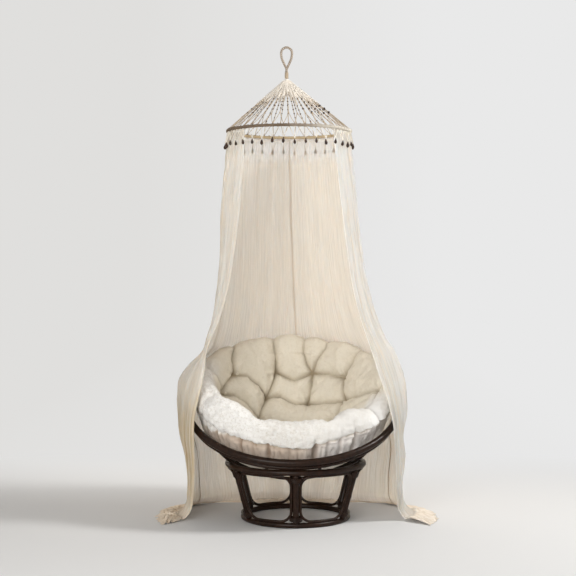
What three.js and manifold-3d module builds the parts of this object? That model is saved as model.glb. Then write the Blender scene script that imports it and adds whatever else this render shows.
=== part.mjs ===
// Macrame bed canopy, hung over a papasan chair that its curtain falls round.
// Millimetres, +Z up, the open front faces -Y.
// Heights are measured from the floor. The whole part is lowered at the end, so that its
// origin is the place where the ceiling hook bears, at the inside top of the hanging loop.

import * as THREE from 'three';
import { mergeVertices } from 'three/addons/utils/BufferGeometryUtils.js';
import Module from 'manifold-3d';

const wasm = await Module();
wasm.setup();

// ---------- Driving dimensions ----------

const clearance = 0.3; // gap between two pieces that touch

// Hoop and crown
const hoopRadius = 300;
const hoopHeight = 1901;
const hoopThickness = 15;
const crownHeight = 2160;
const crownShift = -12; // the crown hangs a little to the left of the hoop's centre
const crownReach = 105; // radius at which the dense knotting opens into single cords
const cordCount = 36;
const cordThickness = 4.8;

// Hanging loop
const ropeThickness = 12;
const loopWidth = 54; // between the rope's centre lines
const loopTop = 2315; // height of the rope's centre line
const legSpacing = 12.5; // the two legs stand one behind the other in the whipping
const whippingHeight = 32;
const hookHeight = loopTop - ropeThickness / 2;

// Fringe and drops
const fringeRadius = 304.2;
const strandThickness = 3.2;
const dropCount = cordCount;
const dropWidth = 14;
const dropLength = 26;
const dropFall = 58; // from the hoop's centre line to the top of a drop
const dropClearance = 5; // between a drop and the cloth behind it

// Curtain
const clothThickness = 1.6;
const foldCount = 20;
const panelColumns = 20;
const seamHalfGap = 0.0003; // in the curtain's own measure, from -1 at one edge to 1 at the other
const sideTurn = 2 / 3; // the curtain's own measure where it passes the canopy's side

// Chair
const bowlX = 20;
const bowlY = 120;
const bowlHeight = 554;
const bowlTilt = THREE.MathUtils.degToRad(26);
const rimRadius = 528;
const rimThickness = 34;
const bowlDepth = 325;
const ribThickness = 16;
const ribCount = 6;
const baseX = 32;
const baseTopRadius = 333;
const baseBottomRadius = 256;
const caneThickness = 26;
const postThickness = 30;
const postCount = 6;

// ---------- Materials ----------

const cottonCord = new THREE.MeshStandardMaterial({ color: 0xd9cdb8, roughness: 0.9 });
const wrappedCord = new THREE.MeshStandardMaterial({ color: 0xb8a58c, roughness: 0.9 });
const gauze = new THREE.MeshStandardMaterial({ color: 0xece2cf, roughness: 0.95 });
const darkWood = new THREE.MeshStandardMaterial({ color: 0x3a2216, roughness: 0.4 });
const rattan = new THREE.MeshStandardMaterial({ color: 0x1f1512, roughness: 0.35 });
const cushionCloth = new THREE.MeshStandardMaterial({ color: 0xe3dac6, roughness: 0.95 });

// ---------- The part and its groups ----------

const part = new THREE.Group();
part.position.set(-crownShift, 0, -hookHeight);
const crown = new THREE.Group();
crown.position.x = crownShift;
const bowl = new THREE.Group();
bowl.position.set(bowlX, bowlY, bowlHeight);
bowl.rotation.x = bowlTilt;
part.add(crown, bowl);

function addPiece(group, name, geometry, material) {
  const mesh = new THREE.Mesh(geometry, material);
  mesh.name = name;
  group.add(mesh);
  return mesh;
}

// ---------- Shape helpers ----------

// Regular polygon about (x, y), turned so that it lies on a flat side.
function roundSection(radius, sides, x = 0, y = 0) {
  const corners = [];
  for (let i = 0; i < sides; i += 1) {
    const angle = (2 * Math.PI * (i + 0.5)) / sides;
    corners.push(new THREE.Vector2(x + radius * Math.cos(angle), y + radius * Math.sin(angle)));
  }
  return corners;
}

// Bar of round section along a curve.
function bar(path, thickness, sides, steps) {
  const section = new THREE.Shape(roundSection(thickness / 2, sides));
  return new THREE.ExtrudeGeometry(section, { steps, extrudePath: path, bevelEnabled: false });
}

function straightBar(from, to, thickness, sides) {
  return bar(new THREE.LineCurve3(from, to), thickness, sides, 1);
}

// Solid of revolution about the vertical axis; the profile runs anticlockwise and closes itself.
function turned(profile, segments) {
  const geometry = new THREE.LatheGeometry([...profile, profile[0].clone()], segments);
  return geometry.rotateX(Math.PI / 2);
}

function ring(radius, height, thickness, sides, segments) {
  return turned(roundSection(thickness / 2, sides, radius, height), segments);
}

function polar(radius, angle, height) {
  return new THREE.Vector3(radius * Math.sin(angle), radius * Math.cos(angle), height);
}

function toSolid(geometry) {
  geometry.deleteAttribute('normal');
  geometry.deleteAttribute('uv');
  const merged = mergeVertices(geometry, 1e-3);
  return new wasm.Manifold(new wasm.Mesh({
    numProp: 3,
    vertProperties: Float32Array.from(merged.attributes.position.array),
    triVerts: Uint32Array.from(merged.index.array),
  }));
}

function joined(geometries) {
  const solid = geometries.map(toSolid).reduce((whole, piece) => whole.add(piece));
  const mesh = solid.getMesh();
  const geometry = new THREE.BufferGeometry();
  geometry.setAttribute('position', new THREE.BufferAttribute(mesh.vertProperties, 3));
  geometry.setIndex(new THREE.BufferAttribute(mesh.triVerts, 1));
  return geometry;
}

// Closed sheet of cloth over a grid; middleAt(column, row) gives its middle surface.
function sheet(columns, rows, middleAt, thickness) {
  const positions = [];
  const indices = [];
  const across = columns + 1;
  const layer = across * (rows + 1);
  const nudge = 0.02;
  for (const side of [1, -1]) {
    for (let row = 0; row <= rows; row += 1) {
      for (let column = 0; column <= columns; column += 1) {
        const alongRow = middleAt(column + nudge, row).sub(middleAt(column - nudge, row));
        const above = middleAt(column, Math.max(row - 1, 0));
        const below = middleAt(column, Math.min(row + 1, rows));
        const normal = alongRow.cross(below.sub(above)).normalize();
        const point = middleAt(column, row).addScaledVector(normal, (side * thickness) / 2);
        positions.push(point.x, point.y, point.z);
      }
    }
  }
  const face = (a, b, c, d) => indices.push(a, b, c, a, c, d);
  for (let row = 0; row < rows; row += 1) {
    for (let column = 0; column < columns; column += 1) {
      const start = row * across + column;
      const next = start + across;
      face(start, start + 1, next + 1, next);
      face(layer + start, layer + next, layer + next + 1, layer + start + 1);
    }
  }
  const rim = [];
  for (let column = 0; column < columns; column += 1) rim.push(column);
  for (let row = 0; row < rows; row += 1) rim.push(row * across + columns);
  for (let column = columns; column > 0; column -= 1) rim.push(rows * across + column);
  for (let row = rows; row > 0; row -= 1) rim.push(row * across);
  rim.forEach((corner, i) => {
    const following = rim[(i + 1) % rim.length];
    face(corner, layer + corner, layer + following, following);
  });
  const geometry = new THREE.BufferGeometry();
  geometry.setAttribute('position', new THREE.Float32BufferAttribute(positions, 3));
  geometry.setIndex(indices);
  return geometry;
}

// ---------- Curtain ----------

// Sections of the hung cloth. left and right are how far the cloth reaches to each side, at
// the depth given by middle; back is where its back hangs; leftEdge, rightEdge and front are
// the places of the two front edges; pleat is the depth of the folds.
const curtainSections = [
  { height: 1893.8, left: 296.8, right: 296.8, middle: 0, back: 296.8, leftEdge: 210, rightEdge: 210, front: -210, pleat: 0 },
  { height: 1740, left: 308, right: 311, middle: 5, back: 345, leftEdge: 219, rightEdge: 221, front: -208, pleat: 5 },
  { height: 1560, left: 324, right: 328, middle: 20, back: 400, leftEdge: 234, rightEdge: 240, front: -205, pleat: 7 },
  { height: 1320, left: 330, right: 354, middle: 45, back: 474, leftEdge: 261, rightEdge: 271, front: -205, pleat: 7 },
  { height: 1120, left: 348, right: 392, middle: 65, back: 538, leftEdge: 296, rightEdge: 302, front: -205, pleat: 7 },
  { height: 980, left: 371, right: 434, middle: 85, back: 584, leftEdge: 337, rightEdge: 338, front: -203, pleat: 7 },
  { height: 880, left: 397, right: 479, middle: 100, back: 618, leftEdge: 380, rightEdge: 372, front: -200, pleat: 6 },
  { height: 820, left: 420, right: 518, middle: 108, back: 638, leftEdge: 398, rightEdge: 393, front: -196, pleat: 5 },
  { height: 750, left: 493, right: 549, middle: 115, back: 650, leftEdge: 404, rightEdge: 415, front: -192, pleat: 5 },
  { height: 680, left: 542, right: 570, middle: 120, back: 652, leftEdge: 416, rightEdge: 438, front: -187, pleat: 6 },
  { height: 600, left: 552, right: 582, middle: 120, back: 648, leftEdge: 437, rightEdge: 464, front: -183, pleat: 7 },
  { height: 500, left: 549, right: 581, middle: 120, back: 642, leftEdge: 455, rightEdge: 490, front: -176, pleat: 7 },
  { height: 400, left: 539, right: 562, middle: 120, back: 636, leftEdge: 460, rightEdge: 503, front: -166, pleat: 8 },
  { height: 300, left: 514, right: 573, middle: 120, back: 630, leftEdge: 458, rightEdge: 508, front: -146, pleat: 8 },
  { height: 150, left: 499, right: 558, middle: 120, back: 620, leftEdge: 464, rightEdge: 520, front: -100, pleat: 8 },
  { height: 90, left: 502, right: 566, middle: 120, back: 615, leftEdge: 470, rightEdge: 525, front: -79, pleat: 7 },
  { height: 40, left: 504, right: 572, middle: 120, back: 610, leftEdge: 476, rightEdge: 530, front: -62, pleat: 6 },
  { height: 22, left: 506, right: 576, middle: 120, back: 608, leftEdge: 478, rightEdge: 533, front: -55, pleat: 5 },
  { height: 10, left: 508, right: 578, middle: 120, back: 607, leftEdge: 480, rightEdge: 535, front: -50, pleat: 4 },
];
// How far the cloth runs on along the floor, outwards at the sides and inwards at the back.
const train = { left: 138, right: 142, back: -275, leftEdge: 170, rightEdge: 190 };
// The bend in which the sides of the cloth turn outwards from hanging to lying.
const floorBend = 80;
const floorRows = [
  { height: 4, run: 0.08 },
  { height: 3, run: 1 },
];
const curtainRows = curtainSections.length - 1 + floorRows.length;

const mix = THREE.MathUtils.lerp;

function sectionAt(row) {
  const lower = Math.min(Math.floor(row), curtainSections.length - 2);
  const share = Math.min(row, curtainSections.length - 1) - lower;
  const section = {};
  for (const key of Object.keys(curtainSections[0])) {
    section[key] = mix(curtainSections[lower][key], curtainSections[lower + 1][key], share);
  }
  return section;
}

// Uneven folds: their spacing and depth drift along the cloth.
function foldWave(measure) {
  const drift = 1.1 * Math.sin(2.7 * Math.PI * measure);
  const swell = 0.72 + 0.28 * Math.cos(4.3 * measure + 0.6);
  return swell * Math.sin(foldCount * Math.PI * measure + drift);
}

// Point of the curtain's middle surface: measure runs from -1 at the left front edge, through
// 0 at the centre of the back, to 1 at the right front edge.
function curtainPoint(measure, row) {
  const section = sectionAt(row);
  const hand = measure < 0 ? 'left' : 'right';
  const reach = section[hand];
  const turn = (Math.abs(measure) / sideTurn) * (Math.PI / 2);
  const wing = Math.max(turn - Math.PI / 2, 0);
  const quarter = Math.min(turn, Math.PI / 2);
  const wingEnd = (Math.PI / 2) * (1 / sideTurn - 1);
  const wingIn = (1 - Math.cos(wing)) / (1 - Math.cos(wingEnd));
  const wingOn = Math.sin(wing) / Math.sin(wingEnd);
  const across = reach * Math.sin(quarter) - (reach - section[`${hand}Edge`]) * wingIn;
  const back = (section.back - section.middle) * Math.cos(quarter);
  const forward = (section.middle - section.front) * wingOn;
  const outward = new THREE.Vector2(Math.sin(turn), Math.cos(turn));
  let offset = section.pleat * foldWave(measure);
  let height = section.height;
  const bend = floorBend * Math.sin(quarter) ** 2;
  const aboveFloor = Math.max(bend - height, 0);
  const bent = bend - Math.sqrt(bend ** 2 - aboveFloor ** 2);
  offset += bent;
  const floorRow = row - (curtainSections.length - 1);
  if (floorRow > 0) {
    const trainSide = mix(train[hand], train[`${hand}Edge`], wingOn);
    const trainRun = trainSide * Math.sin(quarter) ** 2 + train.back * Math.cos(quarter) ** 2;
    offset += (trainRun - bent) * floorRows[floorRow - 1].run;
    height = floorRows[floorRow - 1].height;
  }
  const sign = measure < 0 ? -1 : 1;
  return new THREE.Vector3(
    sign * (across + outward.x * offset),
    section.middle + back - forward + outward.y * offset,
    height,
  );
}

const panels = [
  { name: 'curtain_left_front', from: -1, to: -0.5 },
  { name: 'curtain_left_back', from: -0.5, to: 0 },
  { name: 'curtain_right_back', from: 0, to: 0.5 },
  { name: 'curtain_right_front', from: 0.5, to: 1 },
];
for (const panel of panels) {
  const from = panel.from + seamHalfGap;
  const to = panel.to - seamHalfGap;
  const middleAt = (column, row) => curtainPoint(mix(from, to, column / panelColumns), row);
  addPiece(part, panel.name, sheet(panelColumns, curtainRows, middleAt, clothThickness), gauze);
}

// ---------- Hoop ----------

const hoopSides = 8;
const hoopSegments = 48;
addPiece(part, 'hoop', ring(hoopRadius, hoopHeight, hoopThickness, hoopSides, hoopSegments), wrappedCord);
const hoopFlat = (hoopThickness / 2) * Math.cos(Math.PI / hoopSides);

// ---------- Cone net ----------

// Everything in the cone leans towards the crown, which is off the hoop's centre.
function leanToCrown(geometry) {
  const places = geometry.attributes.position;
  for (let i = 0; i < places.count; i += 1) {
    const share = (places.getZ(i) - hoopHeight) / (crownHeight - hoopHeight);
    places.setX(i, places.getX(i) + crownShift * share);
  }
  return geometry;
}

function coneNet() {
  const footSize = 5;
  const footHeight = hoopHeight + hoopFlat + clearance + footSize / 2;
  const footRadius = hoopRadius - footSize / 2;
  const slope = (crownHeight - footHeight) / footRadius;
  const shell = 6;
  const neck = 12;
  const openEdge = crownHeight - slope * crownReach;
  const pieces = [
    turned([
      new THREE.Vector2(4, crownHeight - 2 * shell),
      new THREE.Vector2(crownReach - 1, openEdge - shell),
      new THREE.Vector2(crownReach, openEdge),
      new THREE.Vector2(neck, crownHeight - shell),
      new THREE.Vector2(neck, crownHeight),
      new THREE.Vector2(4, crownHeight),
    ], cordCount / 2),
    ring(footRadius, footHeight, footSize * Math.SQRT2, 4, cordCount),
  ];
  for (let i = 0; i < cordCount; i += 1) {
    const angle = (2 * Math.PI * i) / cordCount;
    const top = polar(crownReach - 6, angle, openEdge + slope * 6 - shell / 2);
    const foot = polar(footRadius, angle, footHeight);
    pieces.push(straightBar(top, foot, cordThickness, 4));
  }
  return leanToCrown(joined(pieces));
}
addPiece(part, 'cone_net', coneNet(), cottonCord);

// ---------- Hanging loop and its whipping ----------

function hangingLoop() {
  const legEnd = crownHeight + 2 * clearance;
  const legTop = crownHeight + whippingHeight + 14;
  const half = loopWidth / 2;
  const legY = legSpacing / 2;
  const left = [
    new THREE.Vector3(0, -legY, legEnd),
    new THREE.Vector3(0, -legY, mix(legEnd, legTop, 0.5)),
    new THREE.Vector3(0, -legY, legTop),
    new THREE.Vector3(-half * 0.488, -legY * 0.6, mix(legTop, loopTop, 0.27)),
    new THREE.Vector3(-half * 0.94, 0, mix(legTop, loopTop, 0.58)),
    new THREE.Vector3(-half * 0.86, 0, mix(legTop, loopTop, 0.87)),
    new THREE.Vector3(0, 0, loopTop),
  ];
  const right = left.slice(0, -1).reverse().map((p) => new THREE.Vector3(-p.x, -p.y, p.z));
  const path = new THREE.CatmullRomCurve3([...left, ...right]);
  return bar(path, ropeThickness, 8, 32);
}
addPiece(crown, 'hanging_loop', hangingLoop(), cottonCord);

// Outline of a slot with round ends, long in Y.
function slotOutline(outline, radius, halfLength) {
  outline.absarc(0, halfLength, radius, 0, Math.PI);
  outline.absarc(0, -halfLength, radius, Math.PI, 2 * Math.PI);
  outline.closePath();
  return outline;
}

function crownWhipping() {
  const wall = 1.7;
  const inner = ropeThickness / 2 + 0.5;
  const outline = slotOutline(new THREE.Shape(), inner + wall, legSpacing / 2);
  outline.holes.push(slotOutline(new THREE.Path(), inner, legSpacing / 2));
  const depth = whippingHeight - clearance;
  const geometry = new THREE.ExtrudeGeometry(outline, { depth, bevelEnabled: false, curveSegments: 6 });
  return geometry.translate(0, 0, crownHeight + clearance);
}
addPiece(crown, 'crown_whipping', crownWhipping(), wrappedCord);

// ---------- Fringe net and drops ----------

// A row of the curtain's table, between two sections, for a height near the hoop.
function rowAtHeight(height) {
  const [first, second] = curtainSections;
  return (first.height - height) / (first.height - second.height);
}

// Place of a drop's middle: against the cloth round the sides and back, free at the front.
function dropPlace(index) {
  const turn = (2 * Math.PI * (index + 0.5)) / dropCount - Math.PI;
  const measure = (turn / (Math.PI / 2)) * sideTurn;
  const uneven = 4 * Math.sin(2.3 * index) + 2 * Math.cos(5.1 * index);
  const height = hoopHeight - dropFall - dropLength / 2 + uneven;
  const free = polar(fringeRadius, turn, height);
  if (Math.abs(measure) > 1.02) return free;
  const cloth = curtainPoint(THREE.MathUtils.clamp(measure, -1, 1), rowAtHeight(height));
  const reach = Math.hypot(cloth.x, cloth.y) + dropClearance + dropWidth / 2;
  return polar(Math.max(reach, fringeRadius), turn, height);
}

function dropGeometry() {
  const profile = [
    new THREE.Vector2(0, -dropLength / 2),
    new THREE.Vector2(dropWidth * 0.36, -dropLength * 0.42),
    new THREE.Vector2(dropWidth / 2, -dropLength * 0.2),
    new THREE.Vector2(dropWidth * 0.36, dropLength * 0.08),
    new THREE.Vector2(dropWidth * 0.14, dropLength * 0.36),
    new THREE.Vector2(0, dropLength / 2),
  ];
  return new THREE.LatheGeometry(profile, 6).rotateX(Math.PI / 2);
}

// One zigzag strand round the hoop: its upper corners lie under the hoop and its lower
// corners, the knots, each carry a drop. It is a square bar, mitred at every corner.
function fringeNet() {
  const pitch = (Math.PI * fringeRadius) / dropCount;
  const half = strandThickness / 2;
  const mitre = half * Math.hypot(1, dropFall / pitch);
  const corners = [];
  for (let i = 0; i < dropCount; i += 1) {
    const turn = (2 * Math.PI * i) / dropCount - Math.PI;
    corners.push(polar(fringeRadius, turn, hoopHeight - hoopFlat - clearance - mitre));
    corners.push(dropPlace(i).add(new THREE.Vector3(0, 0, dropLength / 2 + clearance + mitre)));
  }
  const positions = [];
  const indices = [];
  corners.forEach((corner, i) => {
    const outward = new THREE.Vector3(corner.x, corner.y, 0).setLength(half);
    for (const [out, up] of [[-1, -1], [1, -1], [1, 1], [-1, 1]]) {
      positions.push(corner.x + out * outward.x, corner.y + out * outward.y, corner.z + up * mitre);
    }
    const here = 4 * i;
    const ahead = 4 * ((i + 1) % corners.length);
    for (let side = 0; side < 4; side += 1) {
      const next = (side + 1) % 4;
      indices.push(here + side, ahead + next, ahead + side, here + side, here + next, ahead + next);
    }
  });
  const geometry = new THREE.BufferGeometry();
  geometry.setAttribute('position', new THREE.Float32BufferAttribute(positions, 3));
  geometry.setIndex(indices);
  return geometry;
}
addPiece(part, 'fringe_net', fringeNet(), cottonCord);

for (let i = 0; i < dropCount; i += 1) {
  const label = String(i + 1).padStart(2, '0');
  addPiece(part, `drop_${label}`, dropGeometry(), darkWood).position.copy(dropPlace(i));
}

// ---------- Bowl: rim and frame ----------

const rimSegments = 48;
addPiece(bowl, 'bowl_rim', ring(rimRadius, 0, rimThickness, 8, rimSegments), rattan);

// The bowl is part of a sphere through the rim's centre line.
const sphereRadius = (rimRadius ** 2 + bowlDepth ** 2) / (2 * bowlDepth);
const sphereRise = sphereRadius - bowlDepth;
const rimAngle = Math.asin(rimRadius / sphereRadius);
const ribSteps = 5; // straight runs from the bottom of the bowl to its rim
const ribSag = sphereRadius * (1 - Math.cos(rimAngle / ribSteps / 2));

function bowlFrame() {
  const ribEnd = rimAngle - (rimThickness / 2 + 2 * clearance) / sphereRadius;
  const hoopAngle = rimAngle * 0.56;
  const pieces = [
    ring(sphereRadius * Math.sin(hoopAngle), sphereRise - sphereRadius * Math.cos(hoopAngle), ribThickness, 5, 24),
  ];
  for (let i = 0; i < ribCount; i += 1) {
    const heading = (Math.PI * (i + 0.5)) / ribCount;
    const points = [];
    for (let step = -ribSteps; step <= ribSteps; step += 1) {
      const angle = (ribEnd * step) / ribSteps;
      points.push(polar(sphereRadius * Math.sin(angle), heading, sphereRise - sphereRadius * Math.cos(angle)));
    }
    pieces.push(bar(new THREE.CatmullRomCurve3(points), ribThickness, 5, 2 * ribSteps));
  }
  return joined(pieces);
}
addPiece(bowl, 'bowl_frame', bowlFrame(), rattan);

// ---------- Cushion ----------

// The cushion's underside lies on the ribs. Its half section then goes round the edge to the
// middle of the top: reach is the radius and rise the height above the plane of the rim.
const undersideReaches = [0, 150, 300, 400, 462];
const cushionSection = [
  { reach: 490, rise: 20 },
  { reach: 506, rise: 70 },
  { reach: 500, rise: 120 },
  { reach: 468, rise: 160 },
  { reach: 424, rise: 166 },
  { reach: 376, rise: 118 },
  { reach: 320, rise: 30 },
  { reach: 225, rise: -72 },
  { reach: 110, rise: -138 },
  { reach: 0, rise: -168 },
];
const cushionLobes = 8;
const tuftReach = 225;
const tuftDepth = 26;

function seatCushion() {
  const bed = sphereRadius - ribThickness / 2 - ribSag - clearance;
  const underside = undersideReaches.map((reach) => (
    new THREE.Vector2(reach, sphereRise - Math.sqrt(bed ** 2 - reach ** 2))
  ));
  const profile = [...underside, ...cushionSection.map((p) => new THREE.Vector2(p.reach, p.rise))];
  const geometry = new THREE.LatheGeometry(profile, cushionLobes * 4).rotateX(Math.PI / 2);
  const places = geometry.attributes.position;
  for (let i = 0; i < places.count; i += 1) {
    const place = new THREE.Vector3().fromBufferAttribute(places, i);
    const radius = Math.hypot(place.x, place.y);
    const lobe = Math.cos(cushionLobes * Math.atan2(place.x, place.y));
    if (place.z > 100 && radius > 1) {
      place.z += 9 * lobe;
      place.multiply(new THREE.Vector3(1 + (6 * lobe) / radius, 1 + (6 * lobe) / radius, 1));
    }
    if (Math.abs(radius - tuftReach) < 1 && place.z > -100) {
      place.z -= tuftDepth * Math.max(-lobe, 0);
    }
    places.setXYZ(i, place.x, place.y, place.z);
  }
  return geometry;
}
addPiece(bowl, 'seat_cushion', seatCushion(), cushionCloth);

// ---------- Base ----------

// The bowl's sphere rests on the top ring, nearer to its left side.
const baseY = bowlY - sphereRise * Math.sin(bowlTilt);
const sphereHeight = bowlHeight + sphereRise * Math.cos(bowlTilt);
const ribFlat = 1.3; // the ribs' flat sides lie this far inside their round outline
const contactRadius = sphereRadius + ribThickness / 2 - ribFlat + clearance + caneThickness / 2;
const contactReach = baseTopRadius - (baseX - bowlX);
const baseTopHeight = sphereHeight - Math.sqrt(contactRadius ** 2 - contactReach ** 2);
const baseBottomHeight = (caneThickness / 2) * Math.cos(Math.PI / 8);

const base = new THREE.Group();
base.position.set(baseX, baseY, 0);
part.add(base);
const baseSegments = 36;
addPiece(base, 'base_top_ring', ring(baseTopRadius, baseTopHeight, caneThickness, 8, baseSegments), rattan);
addPiece(base, 'base_bottom_ring', ring(baseBottomRadius, baseBottomHeight, caneThickness, 8, baseSegments), rattan);

function basePost(index) {
  const heading = Math.PI + (2 * Math.PI * index) / postCount;
  const ringFlat = (caneThickness / 2) * Math.cos(Math.PI / 8);
  const bend = (postThickness / 2) * Math.tan(Math.PI / baseSegments);
  const flatHalf = (caneThickness / 2) * Math.sin(Math.PI / 8) + bend;
  const lean = (baseTopRadius - baseBottomRadius) / (baseTopHeight - baseBottomHeight);
  const seat = ringFlat + clearance + flatHalf * lean;
  const foot = polar(baseBottomRadius, heading, baseBottomHeight + seat);
  const head = polar(baseTopRadius, heading, baseTopHeight - seat);
  return straightBar(foot, head, postThickness, 8);
}
for (let i = 0; i < postCount; i += 1) {
  addPiece(base, `base_post_${i + 1}`, basePost(i), rattan);
}

export default part;
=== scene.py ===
"""Looks of the macrame bed canopy and of the papasan chair that its curtain falls round.

Metres, +Z up, the open front faces -Y. The origin is the place where the ceiling hook bears.
Tables give places from the hoop's axis and heights from the floor.
"""

import math
import random

import bpy
import numpy as np
from mathutils import Matrix, Vector, noise


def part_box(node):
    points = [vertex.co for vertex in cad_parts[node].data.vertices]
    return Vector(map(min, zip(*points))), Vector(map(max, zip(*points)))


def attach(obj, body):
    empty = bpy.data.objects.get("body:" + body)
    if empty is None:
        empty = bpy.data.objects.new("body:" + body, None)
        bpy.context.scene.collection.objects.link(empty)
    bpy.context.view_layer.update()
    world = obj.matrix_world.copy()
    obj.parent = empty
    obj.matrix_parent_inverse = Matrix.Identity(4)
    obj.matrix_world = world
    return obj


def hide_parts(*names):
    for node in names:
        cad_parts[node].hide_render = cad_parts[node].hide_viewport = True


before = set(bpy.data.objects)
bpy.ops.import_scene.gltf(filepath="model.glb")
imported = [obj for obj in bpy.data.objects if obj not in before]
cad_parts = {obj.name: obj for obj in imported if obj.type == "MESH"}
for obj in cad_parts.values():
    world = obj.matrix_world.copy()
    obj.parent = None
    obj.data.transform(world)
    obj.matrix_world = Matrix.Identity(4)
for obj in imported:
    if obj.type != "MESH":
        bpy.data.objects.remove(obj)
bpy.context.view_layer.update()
scene = bpy.context.scene
scene.view_settings.view_transform = "Standard"

FLOOR = -2.309  # height of the floor under the hook
ASIDE = 0.012  # the hoop's axis lies this far to the right of the hook
HOOP_RADIUS = 0.300
HOOP_HEIGHT = 1.901
HOOP_THICK = 0.015
TURN = 2 * math.pi
QUARTER = math.pi / 2


def at(x, y, height):
    """A place given from the hoop's axis and the floor."""
    return Vector((x + ASIDE, y, height + FLOOR))


def clear_selection():
    bpy.ops.object.select_all(action="DESELECT")


clear_selection()


# ---------- Camera ----------

camera_data = bpy.data.cameras.new("camera")
camera_data.lens = 80.56
camera_data.sensor_width = 36
camera_data.shift_y = -0.033
camera = bpy.data.objects.new("camera", camera_data)
scene.collection.objects.link(camera)
camera.location = at(-0.005, -6.34, 1.225)
camera.rotation_euler = (math.radians(90), 0, 0)
scene.camera = camera


# ---------- Shader arithmetic and finishes ----------


class Value:
    """A socket in shader arithmetic: each operator adds one Math node."""

    def __init__(self, finish, socket):
        self.finish = finish
        self.socket = socket

    def math(self, operation, first, second=0.0):
        made = self.finish.node("ShaderNodeMath", {"operation": operation}, {0: first, 1: second})
        return Value(self.finish, made.outputs[0])

    def __add__(self, other):
        return self.math("ADD", self, other)

    def __sub__(self, other):
        return self.math("SUBTRACT", self, other)

    def __rsub__(self, other):
        return self.math("SUBTRACT", other, self)

    def __mul__(self, other):
        return self.math("MULTIPLY", self, other)

    def __pow__(self, other):
        return self.math("POWER", self, other)

    def __abs__(self):
        return self.math("ABSOLUTE", self)

    def sin(self):
        return self.math("SINE", self)

    def clamped(self):
        return self.math("MINIMUM", self.math("MAXIMUM", self, 0.0), 1.0)

    __radd__ = __add__
    __rmul__ = __mul__


class Finish:
    """A material with one Principled shader, and the ways to add nodes to it."""

    def __init__(self, name, **constants):
        self.material = bpy.data.materials.new(name)
        self.material.use_nodes = True
        self.tree = self.material.node_tree
        self.shader = self.tree.nodes["Principled BSDF"]
        for socket, value in constants.items():
            self.shader.inputs[socket.replace("_", " ")].default_value = value

    def node(self, kind, settings=None, inputs=None):
        made = self.tree.nodes.new(kind)
        for key, value in (settings or {}).items():
            setattr(made, key, value)
        for key, value in (inputs or {}).items():
            self.feed(made.inputs[key], value)
        return made

    def feed(self, socket, value):
        if isinstance(value, Value):
            value = value.socket
        if isinstance(value, bpy.types.NodeSocket):
            self.tree.links.new(value, socket)
        else:
            socket.default_value = value

    def set(self, **inputs):
        for key, value in inputs.items():
            self.feed(self.shader.inputs[key.replace("_", " ")], value)

    def places(self, uv=None):
        """Object coordinates, or the piece's own map."""
        if uv:
            return self.node("ShaderNodeUVMap", {"uv_map": uv}).outputs["UV"]
        return self.node("ShaderNodeTexCoord").outputs["Object"]

    def noise(self, places, scale, detail=2.0, roughness=0.5):
        """Noise, drawn out where the scale is given for each axis."""
        if isinstance(scale, tuple):
            mapping = {"Vector": places, "Scale": scale}
            places = self.node("ShaderNodeMapping", None, mapping).outputs["Vector"]
            scale = 1.0
        inputs = {"Vector": places, "Scale": scale, "Detail": detail, "Roughness": roughness}
        return Value(self, self.node("ShaderNodeTexNoise", None, inputs).outputs["Fac"])

    def axes(self, places):
        split = self.node("ShaderNodeSeparateXYZ", None, {"Vector": places})
        return [Value(self, socket) for socket in split.outputs]

    def attribute(self, name):
        return Value(self, self.node("ShaderNodeAttribute", {"attribute_name": name}).outputs["Fac"])

    def mix(self, factor, first, second):
        """The first colour at factor 0 and the second at 1; the factor is held between them."""
        colours = {0: factor, 6: opaque(first), 7: opaque(second)}
        return self.node("ShaderNodeMix", {"data_type": "RGBA", "clamp_factor": True}, colours).outputs[2]

    def bump(self, height, distance, strength=1.0):
        inputs = {"Height": height, "Distance": distance, "Strength": strength}
        self.set(Normal=self.node("ShaderNodeBump", None, inputs).outputs["Normal"])


def opaque(colour):
    return (*colour, 1) if isinstance(colour, tuple) else colour


WEFT_PITCH = 0.0021
WARP_PITCH = 0.0023
DROPS_AREA = 0.140  # the gauze is sheerest this far down, where the drops hang in front of it
SUNLIT_GAUZE = (0.985, 0.965, 0.925)
FOLD_SHADE = (0.60, 0.48, 0.33)
BUNCH_SHADE = (0.47, 0.36, 0.22)
# tones of the painted shade near the floor
LOW_SHADE, LOW_LIGHT = (0.90, 0.735, 0.56), (0.99, 0.88, 0.74)


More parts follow.
